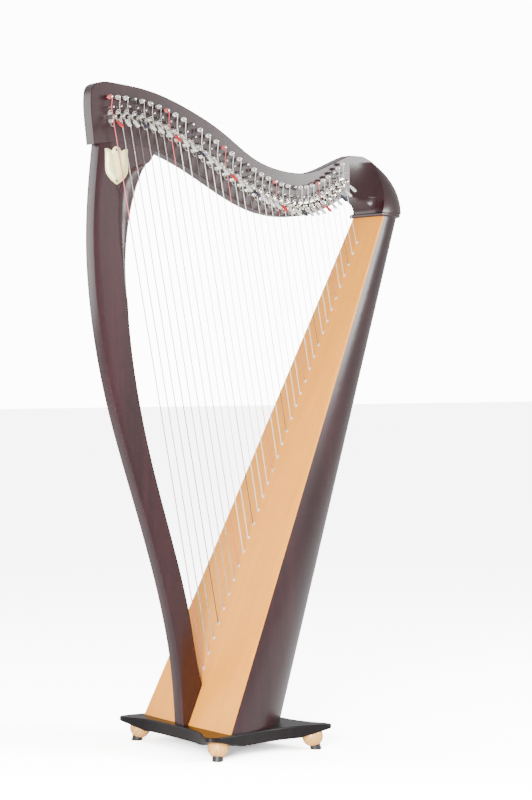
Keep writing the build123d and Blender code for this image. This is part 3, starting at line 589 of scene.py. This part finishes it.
def brushed_brass(name, colour):
    """Lacquered brass sheet: fine brushing along X and a slow drift of tone."""
    brass = Recipe(name)
    brushing = brass.noise(brass.place((30.0, 900.0, 900.0)), 1.0, 4.0, 0.6)
    drift = brass.noise(brass.place((18.0, 18.0, 18.0)), 1.0, 2.0)
    tone = brass.ramp(drift, "Fac", ((0.3, shade(colour, 0.92)), (0.7, shade(colour, 1.05))))
    brass.join(tone, "Color", brass.shader, "Base Color")
    brass.spread(brushing, "Fac", 0.28, 0.46, brass.shader, "Roughness")
    brass.bump(brushing, "Fac", 0.00004, 0.3)
    brass.shader.inputs["Metallic"].default_value = 0.55
    return brass.material


def material(name, make, *values, **more):
    """The named material, made the first time it is asked for."""
    return bpy.data.materials.get(name) or make(name, *values, **more)


def dark_wood(name, scene, turn=(0.0, 0.0, 0.0)):
    woods = scene.harp_woods
    return material(name, stained_wood, tuple(woods.stain), woods.gloss, turn)


def nickel(scene):
    return material("bright_nickel", polished_metal, tuple(scene.harp_hardware.nickel))


def steel():
    return material("bare_steel", polished_metal, (0.56, 0.56, 0.57), 0.32, True)


def pale_floor(name, colour, seen_strength):
    """White studio floor with a faint mottle. The camera sees it burnt out, as the backdrop is."""
    paint = Recipe(name)
    cloud = paint.noise(paint.place((1.5, 1.5, 1.5)), 1.0, 2.0)
    tone = paint.ramp(cloud, "Fac", ((0.3, shade(colour, 0.995)), (0.7, shade(colour, 1.005))))
    paint.join(tone, "Color", paint.shader, "Base Color")
    paint.shader.inputs["Roughness"].default_value = 0.6
    seen = paint.add("ShaderNodeBsdfDiffuse")
    seen.inputs["Color"].default_value = (seen_strength, seen_strength, seen_strength, 1.0)
    ray = paint.add("ShaderNodeLightPath")
    choice = paint.add("ShaderNodeMixShader")
    paint.join(ray, "Is Camera Ray", choice, 0)
    paint.join(paint.shader, "BSDF", choice, 1)
    paint.join(seen, "BSDF", choice, 2)
    paint.join(choice, "Shader", paint.output, "Surface")
    return paint.material


def white_surround(strength, seen):
    """White world. The camera sees it brighter than the harp does, as a lit backdrop."""
    world = bpy.data.worlds.new("white_surround")
    world.use_nodes = True
    tree = world.node_tree
    ray = tree.nodes.new("ShaderNodeLightPath")
    spread = tree.nodes.new("ShaderNodeMapRange")
    spread.inputs["To Min"].default_value = strength
    spread.inputs["To Max"].default_value = seen
    background = tree.nodes["Background"]
    background.inputs["Color"].default_value = (1.0, 1.0, 1.0, 1.0)
    tree.links.new(ray.outputs["Is Camera Ray"], spread.inputs["Value"])
    tree.links.new(spread.outputs["Result"], background.inputs["Strength"])
    return world


# ---------------------------------------------------------------- the harp's lines

def mix(low, high, share):
    return low + (high - low) * share


def along_board(distance, proud=0.0):
    """Point up the board from its foot, standing proud of its flat front plane."""
    distance = np.asarray(distance, dtype=float)[..., None]
    proud = np.asarray(proud, dtype=float)[..., None]
    return np.array([FOOT_X, 0.0, BASE_TOP]) + UP_BOARD * distance + OUT_OF_BOARD * proud


def belly(distance):
    """Height of the board's middle over its edges: half a sine wave on a small constant rise."""
    return BELLY_END + BELLY_MID * np.sin(pi * np.clip(distance / BOARD_LENGTH, 0, 1))


def string_numbers():
    return np.arange(1, STRINGS + 1)


def eyelet_distances():
    """Distances of the eyelets up the board: their gaps shrink evenly to the treble."""
    steps = string_numbers() - 1.0
    shrink = (GAP_BASS - GAP_TREBLE) / (2 * (STRINGS - 2))
    return FIRST_EYELET + GAP_BASS * steps - shrink * steps * (steps - 1)


def pin_row(row):
    """Places of a row of pins: the polynomial through the places of the octave strings."""
    degree = len(OCTAVE_STRINGS) - 1
    flat = [np.polyval(np.polyfit(OCTAVE_STRINGS, [p[axis] for p in row], degree), string_numbers())
            for axis in (0, 1)]
    return as_points(HEAD_X + flat[0], 0.0, HEAD_Z + flat[1])


def string_radii(settings):
    share = (string_numbers() - 1) / (STRINGS - 1)
    return settings.bass_radius * (settings.treble_radius / settings.bass_radius) ** share


def string_kind(number):
    """C strings are red and F strings black, counted from the lowest string, a C."""
    return {0: "red", 3: "black"}.get((number - 1) % 7, "natural")


def lever_frames():
    """Hub of each lever, and its turn: X across the string, -Y away from the neck, Z up the string."""
    hubs, turns = [], []
    for joint in sorted(frame["joints"], key=lambda j: j["name"]):
        across = -np.array(joint["axis"], dtype=float)
        away = np.array([0.0, 1.0, 0.0])
        hubs.append(joint["pos_m"])
        turns.append(as_points(across, away, np.cross(across, away)))
    return np.array(hubs), np.array(turns)


# ---------------------------------------------------------------- wooden pieces

def pillar_edge(foot, head, bows, height):
    """X of the pillar's front or inner edge at a height: a straight line with bows added."""
    top = HEAD_Z + NECK_UNDER_PILLAR[1][1] + PILLAR_REACH
    share = (height - BASE_TOP) / (top - BASE_TOP)
    knots = [point[0] for point in bows]
    return mix(FOOT_X + foot, head, share) + smooth_curve(knots, [p[1] / 1000 for p in bows], share)


def pillar_near(height):
    """Y of the pillar's string face: it leans over to stand flush with the neck."""
    top = HEAD_Z + NECK_UNDER_PILLAR[1][1]
    return mix(PILLAR_NEAR_FOOT, NECK_NEAR, (height - BASE_TOP) / (top - BASE_TOP))


def pillar_surface():
    """The pillar as rows of one section, from the base plate up to the neck's underside.

    The section is a rectangle with eased corners. Its inner near corner is hollowed near the top:
    from a border line the face dips quickly and then runs out level to the inner edge. Every column
    of points ends on the underside's own curve.
    """
    share = 1 - np.linspace(1, 0, 480) ** 1.35
    under = np.array(NECK_UNDER_PILLAR)
    top = HEAD_Z + under[:, 1].max()
    height = mix(BASE_TOP, top, share)
    front = pillar_edge(PILLAR_FRONT_FOOT, HEAD_X + PILLAR_FRONT_HEAD, PILLAR_FRONT_BOW, height)
    inner = pillar_edge(PILLAR_BACK_FOOT, HEAD_X + PILLAR_BACK_HEAD, PILLAR_BACK_BOW, height)
    board = FOOT_X + (height - BASE_TOP) * tan(BOARD_LEAN) - 0.0045
    inner = np.minimum(inner, board)
    near = pillar_near(height)
    line = np.array(HOLLOW_LINE)
    border = FOOT_X + smooth_curve(line[:, 0], line[:, 1], np.clip(height, line[0, 0], line[-1, 0]))
    inside = (height > line[0, 0]) & (height < line[-1, 0])
    ease = 0.0015
    last = inner - ease - 0.0005
    border = np.where(inside, np.minimum(border, last), last)
    fade = np.clip((last - border) / 0.016, 0, 1)
    depth = HOLLOW_DEPTH * fade * (2 - fade)
    columns = []

    def add(x, y):
        columns.append(as_points(x, y))

    for angle in np.linspace(pi, 1.5 * pi, 4):
        add(front + ease + ease * cos(angle), near + ease + ease * sin(angle))
    for step in (0.25, 0.5, 0.75, 0.97, 1.0):
        add(mix(front + ease, border, step), near)
    for step in np.linspace(0.0, 1.0, 15)[1:]:
        x = mix(border, inner - ease, step)
        add(x, near + depth * (1 - (1 - step) ** 3.0))
    for angle in np.linspace(-0.5 * pi, 0, 4)[1:]:
        add(inner - ease + ease * cos(angle), near + depth + ease + ease * sin(angle))
    for angle in np.linspace(0, 0.5 * pi, 4):
        add(inner - ease + ease * cos(angle), near + PILLAR_THICK - ease + ease * sin(angle))
    for angle in np.linspace(0.5 * pi, pi, 4):
        add(front + ease + ease * cos(angle), near + PILLAR_THICK - ease + ease * sin(angle))
    flat = np.stack(columns, axis=1)
    ends = HEAD_Z + smooth_curve(HEAD_X + under[:, 0], under[:, 1], flat[-1, :, 0]) + 0.0008
    lift = (ends - top)[None, :] * np.clip((height - (top - 0.06)) / 0.06, 0, 1)[:, None]
    tall = height[:, None] + lift
    return lattice(np.concatenate([flat, tall[..., None]], axis=-1), ring=True, lids=True)


def shoulder_rows(height):
    """Level section of the shoulder block at a height, as points.

    In front, a line across the arch or the neck joint. On each side a hollow sweeps back to a ridge,
    and behind the ridges the back is half an oval.
    """
    ridge_top = NECK_END_TOP - 0.013
    arch = min(max((height - COLLAR_TOP) / (NECK_END_UNDER - COLLAR_TOP), 0.0), 1.0)
    rise = min((height - COLLAR_TOP) / (ridge_top - COLLAR_TOP), 1.0)
    front = NECK_END_X + (SHOULDER_FRONT - NECK_END_X) * (1 - arch ** 2) ** 0.5
    flare = ARCH_FLARE * (front - NECK_END_X) / (SHOULDER_FRONT - NECK_END_X)
    near, far = NECK_NEAR - flare, NECK_FAR + flare
    ridge_near = mix(-SHOULDER_HALF, NECK_NEAR, rise ** 1.4)
    ridge_far = mix(SHOULDER_HALF, NECK_FAR, rise ** 1.4)
    far = min(far, max(ridge_far - 0.002, NECK_FAR))
    close = (height - COLLAR_TOP) / (NECK_END_TOP + 0.001 - COLLAR_TOP)
    back = SHOULDER_FRONT - 0.014 + SHOULDER_DEPTH * (1 - close ** 2.6) ** 0.7
    ridge = min(SHOULDER_FRONT + 0.017 * rise + 0.010 * sin(pi * rise), back - 0.006)
    middle = (ridge_near + ridge_far) / 2

    def hollow(edge, crest):
        share = np.linspace(0, 1, 17)
        x = smooth_curve((0, 0.5, 1), (front, mix(front, ridge, 0.62), ridge), share)
        y = smooth_curve((0, 0.5, 1), (edge, mix(edge, crest, 0.36), crest), share)
        return as_points(x, y)

    angle = np.linspace(-pi / 2, pi / 2, 33)
    half = np.where(angle < 0, middle - ridge_near, ridge_far - middle)
    oval = as_points(ridge + (back - ridge) * np.cos(angle), middle + half * np.sin(angle))
    across = np.linspace(0, 1, 9)[:, None]
    face = mix(np.array([[front, far]]), np.array([[front, near]]), across)
    far_side = hollow(far, ridge_far)[::-1]
    flat = np.vstack([face[:-1], hollow(near, ridge_near)[:-1], oval[:-1], far_side[:-1]])
    return as_points(*flat.T, height)


def shoulder_surface():
    """The shoulder block as level sections, closer together where the arch and the crown turn fast."""
    low = COLLAR_TOP + (NECK_END_UNDER - COLLAR_TOP) * np.sin(np.linspace(0, pi / 2, 30))
    high = NECK_END_UNDER + (NECK_END_TOP - NECK_END_UNDER) * np.sin(np.linspace(0, pi / 2, 34))
    levels = np.concatenate([low, high[1:]])
    return lattice([shoulder_rows(height) for height in levels], ring=True, lids=True)


class HARP_OT_woods(bpy.types.Operator):
    """Make the pillar and shoulder, and finish the harp's wooden pieces"""
    bl_idname = "harp.woods"
    bl_label = "Wooden pieces"

    def execute(self, context):
        scene = context.scene
        woods = scene.harp_woods
        upright = dark_wood("stained_pillar_wood", scene, (0.0, -0.12, 0.0))
        level = dark_wood("stained_neck_wood", scene, (0.0, 1.35, 0.0))
        leaning = dark_wood("stained_soundbox_wood", scene, (0.0, -BOARD_LEAN, 0.0))
        make_piece("pillar_wood", [(pillar_surface(), upright)], FIXED, ("pillar",), 30.0)
        make_piece("shoulder_wood", [(shoulder_surface(), level)], FIXED, ("shoulder",), 32.0)
        for node in ("neck", "collar"):
            finish_node(node, level)
        finish_node("soundbox_back", leaning)
        base = material("ebonised_base_wood", stained_wood, tuple(woods.base), 0.24, (pi / 2, 0.0, 0.0), 0.6,
                        0.1)
        finish_node("base_plate", base)
        spruce = material("soundboard_spruce", spruce_wood, tuple(woods.spruce))
        for node in ("soundboard", "edge_linings", "back_ribs"):
            finish_node(node, spruce)
        maple = material("turned_maple", plain_maple, tuple(woods.maple))
        for node in ("ball_feet", "end_blocks", "string_rib", "joint_dowels"):
            finish_node(node, maple)
        finish_node("rubber_tips", material("black_rubber", cast_rubber))
        for node in ("foot_screws", "pillar_bolt"):
            finish_node(node, steel())
        return {"FINISHED"}


# ---------------------------------------------------------------- strings

def string_route(corners, reach=0.0016):
    """Path of one string through its corners: straight runs, and each corner rounded.

    A rounded corner starts and stops a short reach from it, and is a parabola between.
    """
    t = np.linspace(0, 1, 6)[:, None]
    path = [corners[:1]]
    for before, corner, after in zip(corners, corners[1:], corners[2:]):
        start, stop = (corner + (end - corner) / np.linalg.norm(end - corner) * reach
                       for end in (before, after))
        path.append((1 - t) ** 2 * start + 2 * t * (1 - t) * corner + t ** 2 * stop)
    return np.vstack(path + [corners[-1:]])


def coil_path(place, radius, turns=3.6):
    """Helix of a string round its tuning pin, from the string towards the neck."""
    angle = np.linspace(0, 2 * pi * turns, int(13 * turns))
    reach = TUNING_RADIUS + radius
    pitch = 2.08 * radius
    return place + as_points(reach * np.cos(angle), pitch * angle / (2 * pi), reach * np.sin(angle))


def string_bends(radii):
    """Corners of every string's route: knot, eyelet, bridge pin and tuning pin."""
    distance = eyelet_distances()
    knot = along_board(distance, -BOARD_THICK - STRING_RIB - KNOT)
    mouth = along_board(distance, belly(distance) + 0.0032)
    turn = pin_row(BRIDGE_ROW) - np.array([BRIDGE_RADIUS + 0.0003, 0.0, 0.0])
    turn[:, 0] -= radii
    end = pin_row(TUNING_ROW) + np.array([TUNING_RADIUS, 0.0, 0.0])
    end[:, 0] += radii
    turn[:, 1] = STRING_Y
    end[:, 1] = STRING_Y
    return np.stack([knot, mouth, turn, end], axis=1)


class HARP_OT_strings(bpy.types.Operator):
    """Make the strings, with the coils on their pins and the knots behind the soundboard"""
    bl_idname = "harp.strings"
    bl_label = "Strings"

    def execute(self, context):
        settings = context.scene.harp_strings
        radii = string_radii(settings)
        bends = string_bends(radii)
        tuning = pin_row(TUNING_ROW)
        tuning[:, 1] = STRING_Y
        knot_ball = turned([(0.0003, -0.0025), (0.0017, -0.0019), (0.0026, 0.0), (0.0017, 0.0019),
                            (0.0003, 0.0025)], 10)
        metal = material("wound_silver_string", string_gut, (0.62, 0.60, 0.57), 0.85, 0.8)
        clear = material("clear_string", string_gut, tuple(settings.clear), 0.0, 0.0)
        looks = {"red": material("red_string", string_gut, tuple(settings.red), 0.0, 0.3),
                 "black": material("black_string", string_gut, tuple(settings.black), 0.0, 0.3)}
        parts = {"red": [], "black": [], "natural": []}
        far = {"red": [], "black": [], "natural": []}
        for number in string_numbers():
            k = number - 1
            kind = string_kind(number)
            path = string_route(bends[k])
            coil = coil_path(tuning[k], radii[k])
            look = looks.get(kind) or (metal if number <= WOUND_STRINGS else clear)
            knot = repeat(knot_ball, [np.eye(3)], bends[k, :1])
            for line, sides in ((path, 8), (coil, 6)):
                parts[kind].append((tube(line, radii[k], sides), look))
                steps = np.linalg.norm(np.diff(line, axis=0), axis=1)
                length = np.concatenate([[0.0], np.cumsum(steps)])
                far[kind] += [np.repeat(length, sides), np.zeros(2)]
            parts[kind].append((knot, look))
            far[kind].append(np.zeros(len(knot[0])))
        for kind, pairs in parts.items():
            make_piece("string_set_" + kind, pairs, FIXED, ("strings_" + kind,), 50.0,
                       np.concatenate(far[kind]))
        return {"FINISHED"}


# ---------------------------------------------------------------- pins and eyelets

def along_y(surface):
    """Turns a surface made round Z so that its top points to -Y."""
    spots, quads, fans = surface
    return spots[:, [0, 2, 1]] * np.array([1.0, -1.0, 1.0]), quads, fans


def tuning_pin():
    """A tuning pin along Z: eased near end, round shaft, and a tapered square at the far end.

    Each ring is a circle, or a square whose corners are cut off at a longest radius.
    """
    angle = np.linspace(0, 2 * pi, 24, endpoint=False)
    square = np.minimum(1 / np.maximum(np.abs(np.cos(angle)), np.abs(np.sin(angle))), 1.28)
    r = TUNING_RADIUS
    near, far = TUNING_NEAR, -(NECK_THICK + TUNING_FAR)
    rows = ((near, r * 0.45, 0), (near - 0.0004, r * 0.8, 0), (near - 0.0012, r, 0), (0.0, r, 0),
            (-NECK_THICK, r, 0), (-NECK_THICK - 0.005, r, 0), (-NECK_THICK - 0.0062, r * 0.76, 1),
            (far + 0.0006, r * 0.68, 1), (far, r * 0.55, 1))
    reach = [size * (square if squared else 1.0) for _, size, squared in rows]
    rings = [as_points(r * np.cos(angle), r * np.sin(angle), row[0]) for r, row in zip(reach, rows)]
    return along_y(lattice(rings, ring=True, lids=True))


def bridge_pin():
    """A bridge pin along Z: shaft, a groove for the string, and a ball head."""
    r = BRIDGE_RADIUS
    head = [(0.0027 * sin(a), BRIDGE_OUT + 0.0027 * cos(a)) for a in np.linspace(0.12, 2.35, 9)]
    groove = -STRING_Y + NECK_NEAR
    shaft = [(r, groove + 0.0016), (r * 0.86, groove + 0.0006), (r * 0.86, groove - 0.0006),
             (r, groove - 0.0016), (r, 0.0006), (r * 1.25, 0.0), (r, -0.0004), (r, -0.0155)]
    return along_y(turned(head + shaft, 18))


def eyelet():
    """A grommet along Z: rolled head, open bore and barrel."""
    roll = [(0.0036, EYELET_LIFT), (0.0037, EYELET_LIFT + 0.0004), (0.0033, EYELET_LIFT + 0.0010),
            (0.0026, EYELET_LIFT + 0.00135), (0.0018, EYELET_LIFT + 0.0011), (0.0013, EYELET_LIFT + 0.0004)]
    inside = [(0.0013, -0.004), (0.0022, -0.004), (0.0022, EYELET_LIFT)]
    return turned(roll + inside + roll[:1], lids=False)


class HARP_OT_pins(bpy.types.Operator):
    """Make the tuning pins, the bridge pins and the soundboard's eyelets"""
    bl_idname = "harp.pins"
    bl_label = "Pins and eyelets"

    def execute(self, context):
        bright = nickel(context.scene)
        level = np.repeat(np.eye(3)[None], STRINGS, axis=0)
        for name, row, shape, node in (("tuning_pin_set", TUNING_ROW, tuning_pin(), "tuning_pins"),
                                       ("bridge_pin_set", BRIDGE_ROW, bridge_pin(), "bridge_pins")):
            places = pin_row(row) + np.array([0.0, NECK_NEAR, 0.0])
            make_piece(name, [(repeat(shape, level, places), bright)], FIXED, (node,), 40.0)
        distance = eyelet_distances()
        across = np.array([0.0, 1.0, 0.0])
        turn = as_points(across, np.cross(OUT_OF_BOARD, across), OUT_OF_BOARD)
        turns = np.repeat(turn[None], STRINGS, axis=0)
        rings = repeat(eyelet(), turns, along_board(distance, belly(distance)))
        white = material("white_eyelet", moulded, (0.86, 0.86, 0.83))
        make_piece("eyelet_set", [(rings, white)], FIXED, ("eyelets",), 50.0)
        return {"FINISHED"}


# ---------------------------------------------------------------- levers

def stadium(width, low, high, steps=8):
    """Outline in X and Y with a round end at the high Y and a straight end at the low Y."""
    half = width / 2
    top = np.linspace(0, pi, steps * 2)
    crown = as_points(half * np.cos(top), high - half + half * np.sin(top))
    return np.vstack([crown, [[-half, low], [half, low]]])


def bracket_parts(depth):
    """One lever bracket in its lever's frame, with the neck's face at a depth behind the string.

    A base plate with round ends, an ear each side of the hub, a raised hoop over the hub and an
    open hook under it.
    """
    foot = plate(rounded(0.0104, 0.026, 0.0045, 5), 0.0016, 0.0003)
    spots = foot[0][:, [0, 2, 1]]
    spots[:, 1] = depth - spots[:, 1]
    parts = [(spots, foot[1], foot[2])]
    ear = plate(stadium(0.010, -depth + 0.0002, PIVOT_OUT + 0.0028), 0.0014, 0.0002)
    for side in (-1, 1):
        spots = ear[0][:, [2, 1, 0]]
        spots = as_points(side * (0.0038 + spots[:, 0]), -spots[:, 1], spots[:, 2])
        parts.append((spots, ear[1], ear[2]))
    angle = np.linspace(radians(-15), radians(195), 20)
    hoop = as_points(0.0052 * np.cos(angle), depth - 0.0046, 0.0104 + 0.0042 * np.sin(angle))
    legs = np.array([[0.0050, depth - 0.001, 0.0088], [0.0051, depth - 0.0036, 0.0090]])
    ends = legs * np.array([-1.0, 1.0, 1.0])
    parts.append(tube(np.vstack([legs, hoop, ends[::-1]]), 0.0009, 8))
    angle = np.linspace(radians(80), radians(300), 16)
    hook = as_points(0.0006 + 0.0040 * np.cos(angle), depth - 0.0052 + 0.0012 * np.sin(angle),
                     -0.0152 + 0.0046 * np.sin(angle))
    stem = np.array([[0.0014, depth - 0.0008, -0.0100]])
    parts.append(tube(np.vstack([stem, hook]), np.concatenate([np.full(15, 0.0009), [0.0011, 0.0012]]), 8))
    return gather(parts)


def lever_metal():
    """Hub and stem of a lever along -Z from the hub at the origin, before it is tilted."""
    hub = turned([(0.0026, -0.0035), (0.0031, -0.0034), (0.0033, -0.0030), (0.0033, -0.0012),
                  (0.0030, -0.0009), (0.0030, 0.0009), (0.0033, 0.0012), (0.0033, 0.0030),
                  (0.0031, 0.0034), (0.0026, 0.0035)], 20)
    hub = with_columns(hub, [2, 0, 1])
    sizes = ((0.0015, 0.0050, 0.0048), (0.0045, 0.0046, 0.0038), (0.0085, 0.0041, 0.0030),
             (0.0130, 0.0038, 0.0026), (0.0180, 0.0036, 0.0024), (0.0290, 0.0032, 0.0020))
    return gather([hub, rounded_bar(sizes, 0.42)])


def lever_grip():
    """Paddle-shaped grip over the stem's end: rounded sections that widen and thin to its tip."""
    sizes = ((0.0145, 0.0034, 0.0026), (0.0149, 0.0044, 0.0035), (0.0160, 0.0051, 0.0042),
             (0.0185, 0.0058, 0.0047), (0.0215, 0.0066, 0.0049), (0.0250, 0.0072, 0.0048),
             (0.0285, 0.0076, 0.0044), (0.0318, 0.0077, 0.0040), (0.0342, 0.0072, 0.0035),
             (0.0354, 0.0060, 0.0028), (0.0360, 0.0042, 0.0018))
    return rounded_bar(sizes, 0.46, 5)


class HARP_OT_levers(bpy.types.Operator):
    """Make the lever brackets, their screws and pivots, and the levers"""
    bl_idname = "harp.levers"
    bl_label = "Sharping levers"

    def execute(self, context):
        scene = context.scene
        bright = nickel(scene)
        hubs, turns = lever_frames()
        strings = hubs + np.array([0.0, PIVOT_OUT, 0.0])
        depths = NECK_NEAR - strings[:, 1]
        brackets = [repeat(bracket_parts(depth), [turn], [place])
                    for depth, turn, place in zip(depths, turns, strings)]
        make_piece("lever_bracket_set", [(gather(brackets), bright)], FIXED, ("lever_brackets",),
                   40.0)
        pin = turned([(0.0008, -0.0055), (0.0012, -0.0053), (0.0012, 0.0053), (0.0008, 0.0055)], 12)
        pin = with_columns(pin, [2, 0, 1])
        make_piece("lever_pivot_set", [(repeat(pin, turns, hubs), steel())], FIXED,
                   ("lever_pivots",), 40.0)
        screw = along_y(turned([(0.0008, 0.0013), (0.0017, 0.0011), (0.0022, 0.0006), (0.0023, 0.0),
                                (0.0013, -0.0001), (0.0013, -0.0085), (0.0003, -0.0098)], 14))
        places = [place + turn @ np.array([0.0, depth - 0.0016, up])
                  for place, turn, depth in zip(strings, turns, depths) for up in (-0.0098, 0.0098)]
        make_piece("lever_screw_set", [(repeat(screw, np.repeat(turns, 2, axis=0), places), steel())],
                   FIXED, ("lever_screws",), 40.0)
        tilt = np.array(Matrix.Rotation(-LEVER_REST, 3, "X"))
        metal, grip = lever_metal(), lever_grip()
        hardware = scene.harp_hardware
        looks = {"red": ("red_grip", material("red_lever_grip", moulded, tuple(hardware.red_grip))),
                 "black": ("dark_grip", material("dark_lever_grip", moulded, tuple(hardware.dark_grip))),
                 "natural": ("pale_grip", material("pale_lever_grip", moulded, tuple(hardware.pale_grip)))}
        for number in string_numbers():
            turn = turns[number - 1] @ tilt
            slot, look = looks[string_kind(number)]
            node = "lever_%02d" % number
            parts = [(repeat(shape, [turn], hubs[number - 1:number]), finish)
                     for shape, finish in ((metal, bright), (grip, look))]
            make_piece("sharping_" + node, parts, node + "_body", (node,), 40.0)
        return {"FINISHED"}


# ---------------------------------------------------------------- badge

def badge_outline():
    """Shield in X and Z from the middle of its top.

    A lobe stands between two cusps, and the sides swell and draw in to a point.
    """
    half, tall = 0.028, 0.078
    lobe = np.linspace(pi * 0.93, pi * 0.07, 15)
    crown = as_points(0.0098 * np.cos(lobe), -0.0066 + 0.0096 * np.sin(lobe))
    dip = np.array([[-0.0125, -0.0068]])
    horn = np.array([[-0.0188, -0.0035], [-0.0235, -0.0024], [-half, -0.0028]])
    drop = np.linspace(0, 1, 16)
    side = as_points(-half * np.cos(drop ** 1.7 * pi / 2), -BADGE_SHOULDER - (tall - BADGE_SHOULDER) * drop)
    left = np.vstack([side[::-1], horn[::-1], dip])
    right = left[::-1] * np.array([-1.0, 1.0])
    return np.vstack([left, crown, right[:-1]])


def badge_surface(thick=0.0012):
    """The shield plate, domed a little, with an eased rim: the outline shrinks towards the middle
    in steps while its height follows a quarter ellipse."""
    outline = badge_outline()
    middle = np.array([0.0, -BADGE_SHOULDER])
    rows = []
    for scale, height in ((1.0, 0.0), (1.0, thick * 0.7), (0.985, thick), (0.955, thick),
                          (0.945, thick * 0.82), (0.6, thick * 0.86), (0.25, thick * 0.9)):
        line = middle + (outline - middle) * scale
        rows.append(as_points(line[:, 0], -height, line[:, 1]))
    return lattice(rows, ring=True, lids=True)


class HARP_OT_badge(bpy.types.Operator):
    """Make the plain shield badge and its two nails"""
    bl_idname = "harp.badge"
    bl_label = "Badge"

    def execute(self, context):
        brass = material("badge_brass", brushed_brass, tuple(context.scene.harp_hardware.brass))
        dark = material("dark_nail", polished_metal, (0.10, 0.09, 0.07), 0.4)
        pillar_top = HEAD_Z + NECK_UNDER_PILLAR[1][1]
        top = pillar_top - BADGE_DROP
        lean = (NECK_NEAR - PILLAR_NEAR_FOOT) / (pillar_top - BASE_TOP)
        turn = np.array(Matrix.Rotation(-lean, 3, "X"))
        place = np.array([BADGE_X, float(pillar_near(top)), top])
        nail = along_y(turned([(0.0004, 0.0011), (0.0014, 0.0009), (0.0021, 0.0004), (0.0022, 0.0),
                               (0.0011, 0.0), (0.0011, -0.007)], 14))
        spots = [place + turn @ np.array([0.0, -0.0011, z]) for z in BADGE_NAILS]
        nails = repeat(nail, [turn, turn], spots)
        shield = repeat(badge_surface(), [turn], [place])
        make_piece("shield_badge", [(shield, brass), (nails, dark)], FIXED, ("badge",), 40.0)
        return {"FINISHED"}


# ---------------------------------------------------------------- stage

def area_light(name, place, aim, size, power):
    """A rectangular soft light at a place, turned to a point."""
    data = bpy.data.lights.new(name, "AREA")
    data.shape = "RECTANGLE"
    data.size, data.size_y = size
    data.energy = power
    lamp = bpy.data.objects.new(name, data)
    bpy.context.scene.collection.objects.link(lamp)
    lamp.location = place
    lamp.rotation_mode = "QUATERNION"
    lamp.rotation_quaternion = (Vector(aim) - Vector(place)).to_track_quat("-Z", "Y")
    lamp.visible_camera = False


class HARP_OT_stage(bpy.types.Operator):
    """Lay the floor, light the harp and set the camera"""
    bl_idname = "harp.stage"
    bl_label = "Floor, light and camera"

    def execute(self, context):
        scene = context.scene
        settings = scene.harp_stage
        side = np.linspace(-FLOOR_REACH, FLOOR_REACH, 13)
        grid = np.stack(np.meshgrid(side, side, [0.0], indexing="ij"), axis=-1)[:, :, 0]
        spots, quads, _ = lattice(grid)
        mesh = bpy.data.meshes.new("floor")
        mesh.from_pydata(spots.tolist(), [], quads.tolist())
        mesh.materials.append(material("white_floor", pale_floor, tuple(settings.floor),
                                      settings.backdrop * FLOOR_SHARE))
        floor = bpy.data.objects.new("floor", mesh)
        scene.collection.objects.link(floor)

        scene.world = white_surround(settings.sky, settings.backdrop)
        for name, place, aim, size, share in LIGHTS:
            area_light(name, place, aim, size, settings.key * share)

        lens = bpy.data.cameras.new("camera")
        lens.sensor_width = 36.0
        lens.lens = CAMERA_LENS
        lens.clip_end = 100.0
        camera = bpy.data.objects.new("camera", lens)
        scene.collection.objects.link(camera)
        ahead = Vector((sin(CAMERA_YAW) * cos(CAMERA_PITCH), cos(CAMERA_YAW) * cos(CAMERA_PITCH),
                        sin(CAMERA_PITCH)))
        camera.location = CAMERA_PLACE
        camera.rotation_mode = "QUATERNION"
        camera.rotation_quaternion = ahead.to_track_quat("-Z", "Y")
        scene.camera = camera
        return {"FINISHED"}


# ---------------------------------------------------------------- panel and start

OPERATORS = (HARP_OT_woods, HARP_OT_strings, HARP_OT_pins, HARP_OT_levers, HARP_OT_badge, HARP_OT_stage)
GROUPS = {"harp_woods": HarpWoods, "harp_strings": HarpStrings, "harp_hardware": HarpHardware,
          "harp_stage": HarpStage}


class HARP_PT_panel(bpy.types.Panel):
    """The harp's sizes, colours and pieces"""
    bl_idname = "HARP_PT_panel"
    bl_label = "Lever Harp"
    bl_space_type = "VIEW_3D"
    bl_region_type = "UI"
    bl_category = "Harp"

    def draw(self, context):
        for key, group in GROUPS.items():
            box = self.layout.box()
            for field in group.__annotations__:
                box.prop(getattr(context.scene, key), field)
        for operator in OPERATORS:
            self.layout.operator(operator.bl_idname)


def register():
    for group in GROUPS.values():
        bpy.utils.register_class(group)
    for operator in OPERATORS:
        bpy.utils.register_class(operator)
    bpy.utils.register_class(HARP_PT_panel)
    for key, group in GROUPS.items():
        setattr(bpy.types.Scene, key, bpy.props.PointerProperty(type=group))


def unregister():
    for key in GROUPS:
        delattr(bpy.types.Scene, key)
    bpy.utils.unregister_class(HARP_PT_panel)
    for operator in reversed(OPERATORS):
        bpy.utils.unregister_class(operator)
    for group in reversed(GROUPS.values()):
        bpy.utils.unregister_class(group)


def main():
    register()
    bpy.ops.harp.woods()
    bpy.ops.harp.strings()
    bpy.ops.harp.pins()
    bpy.ops.harp.levers()
    bpy.ops.harp.badge()
    bpy.ops.harp.stage()


if __name__ == "__main__":
    main()
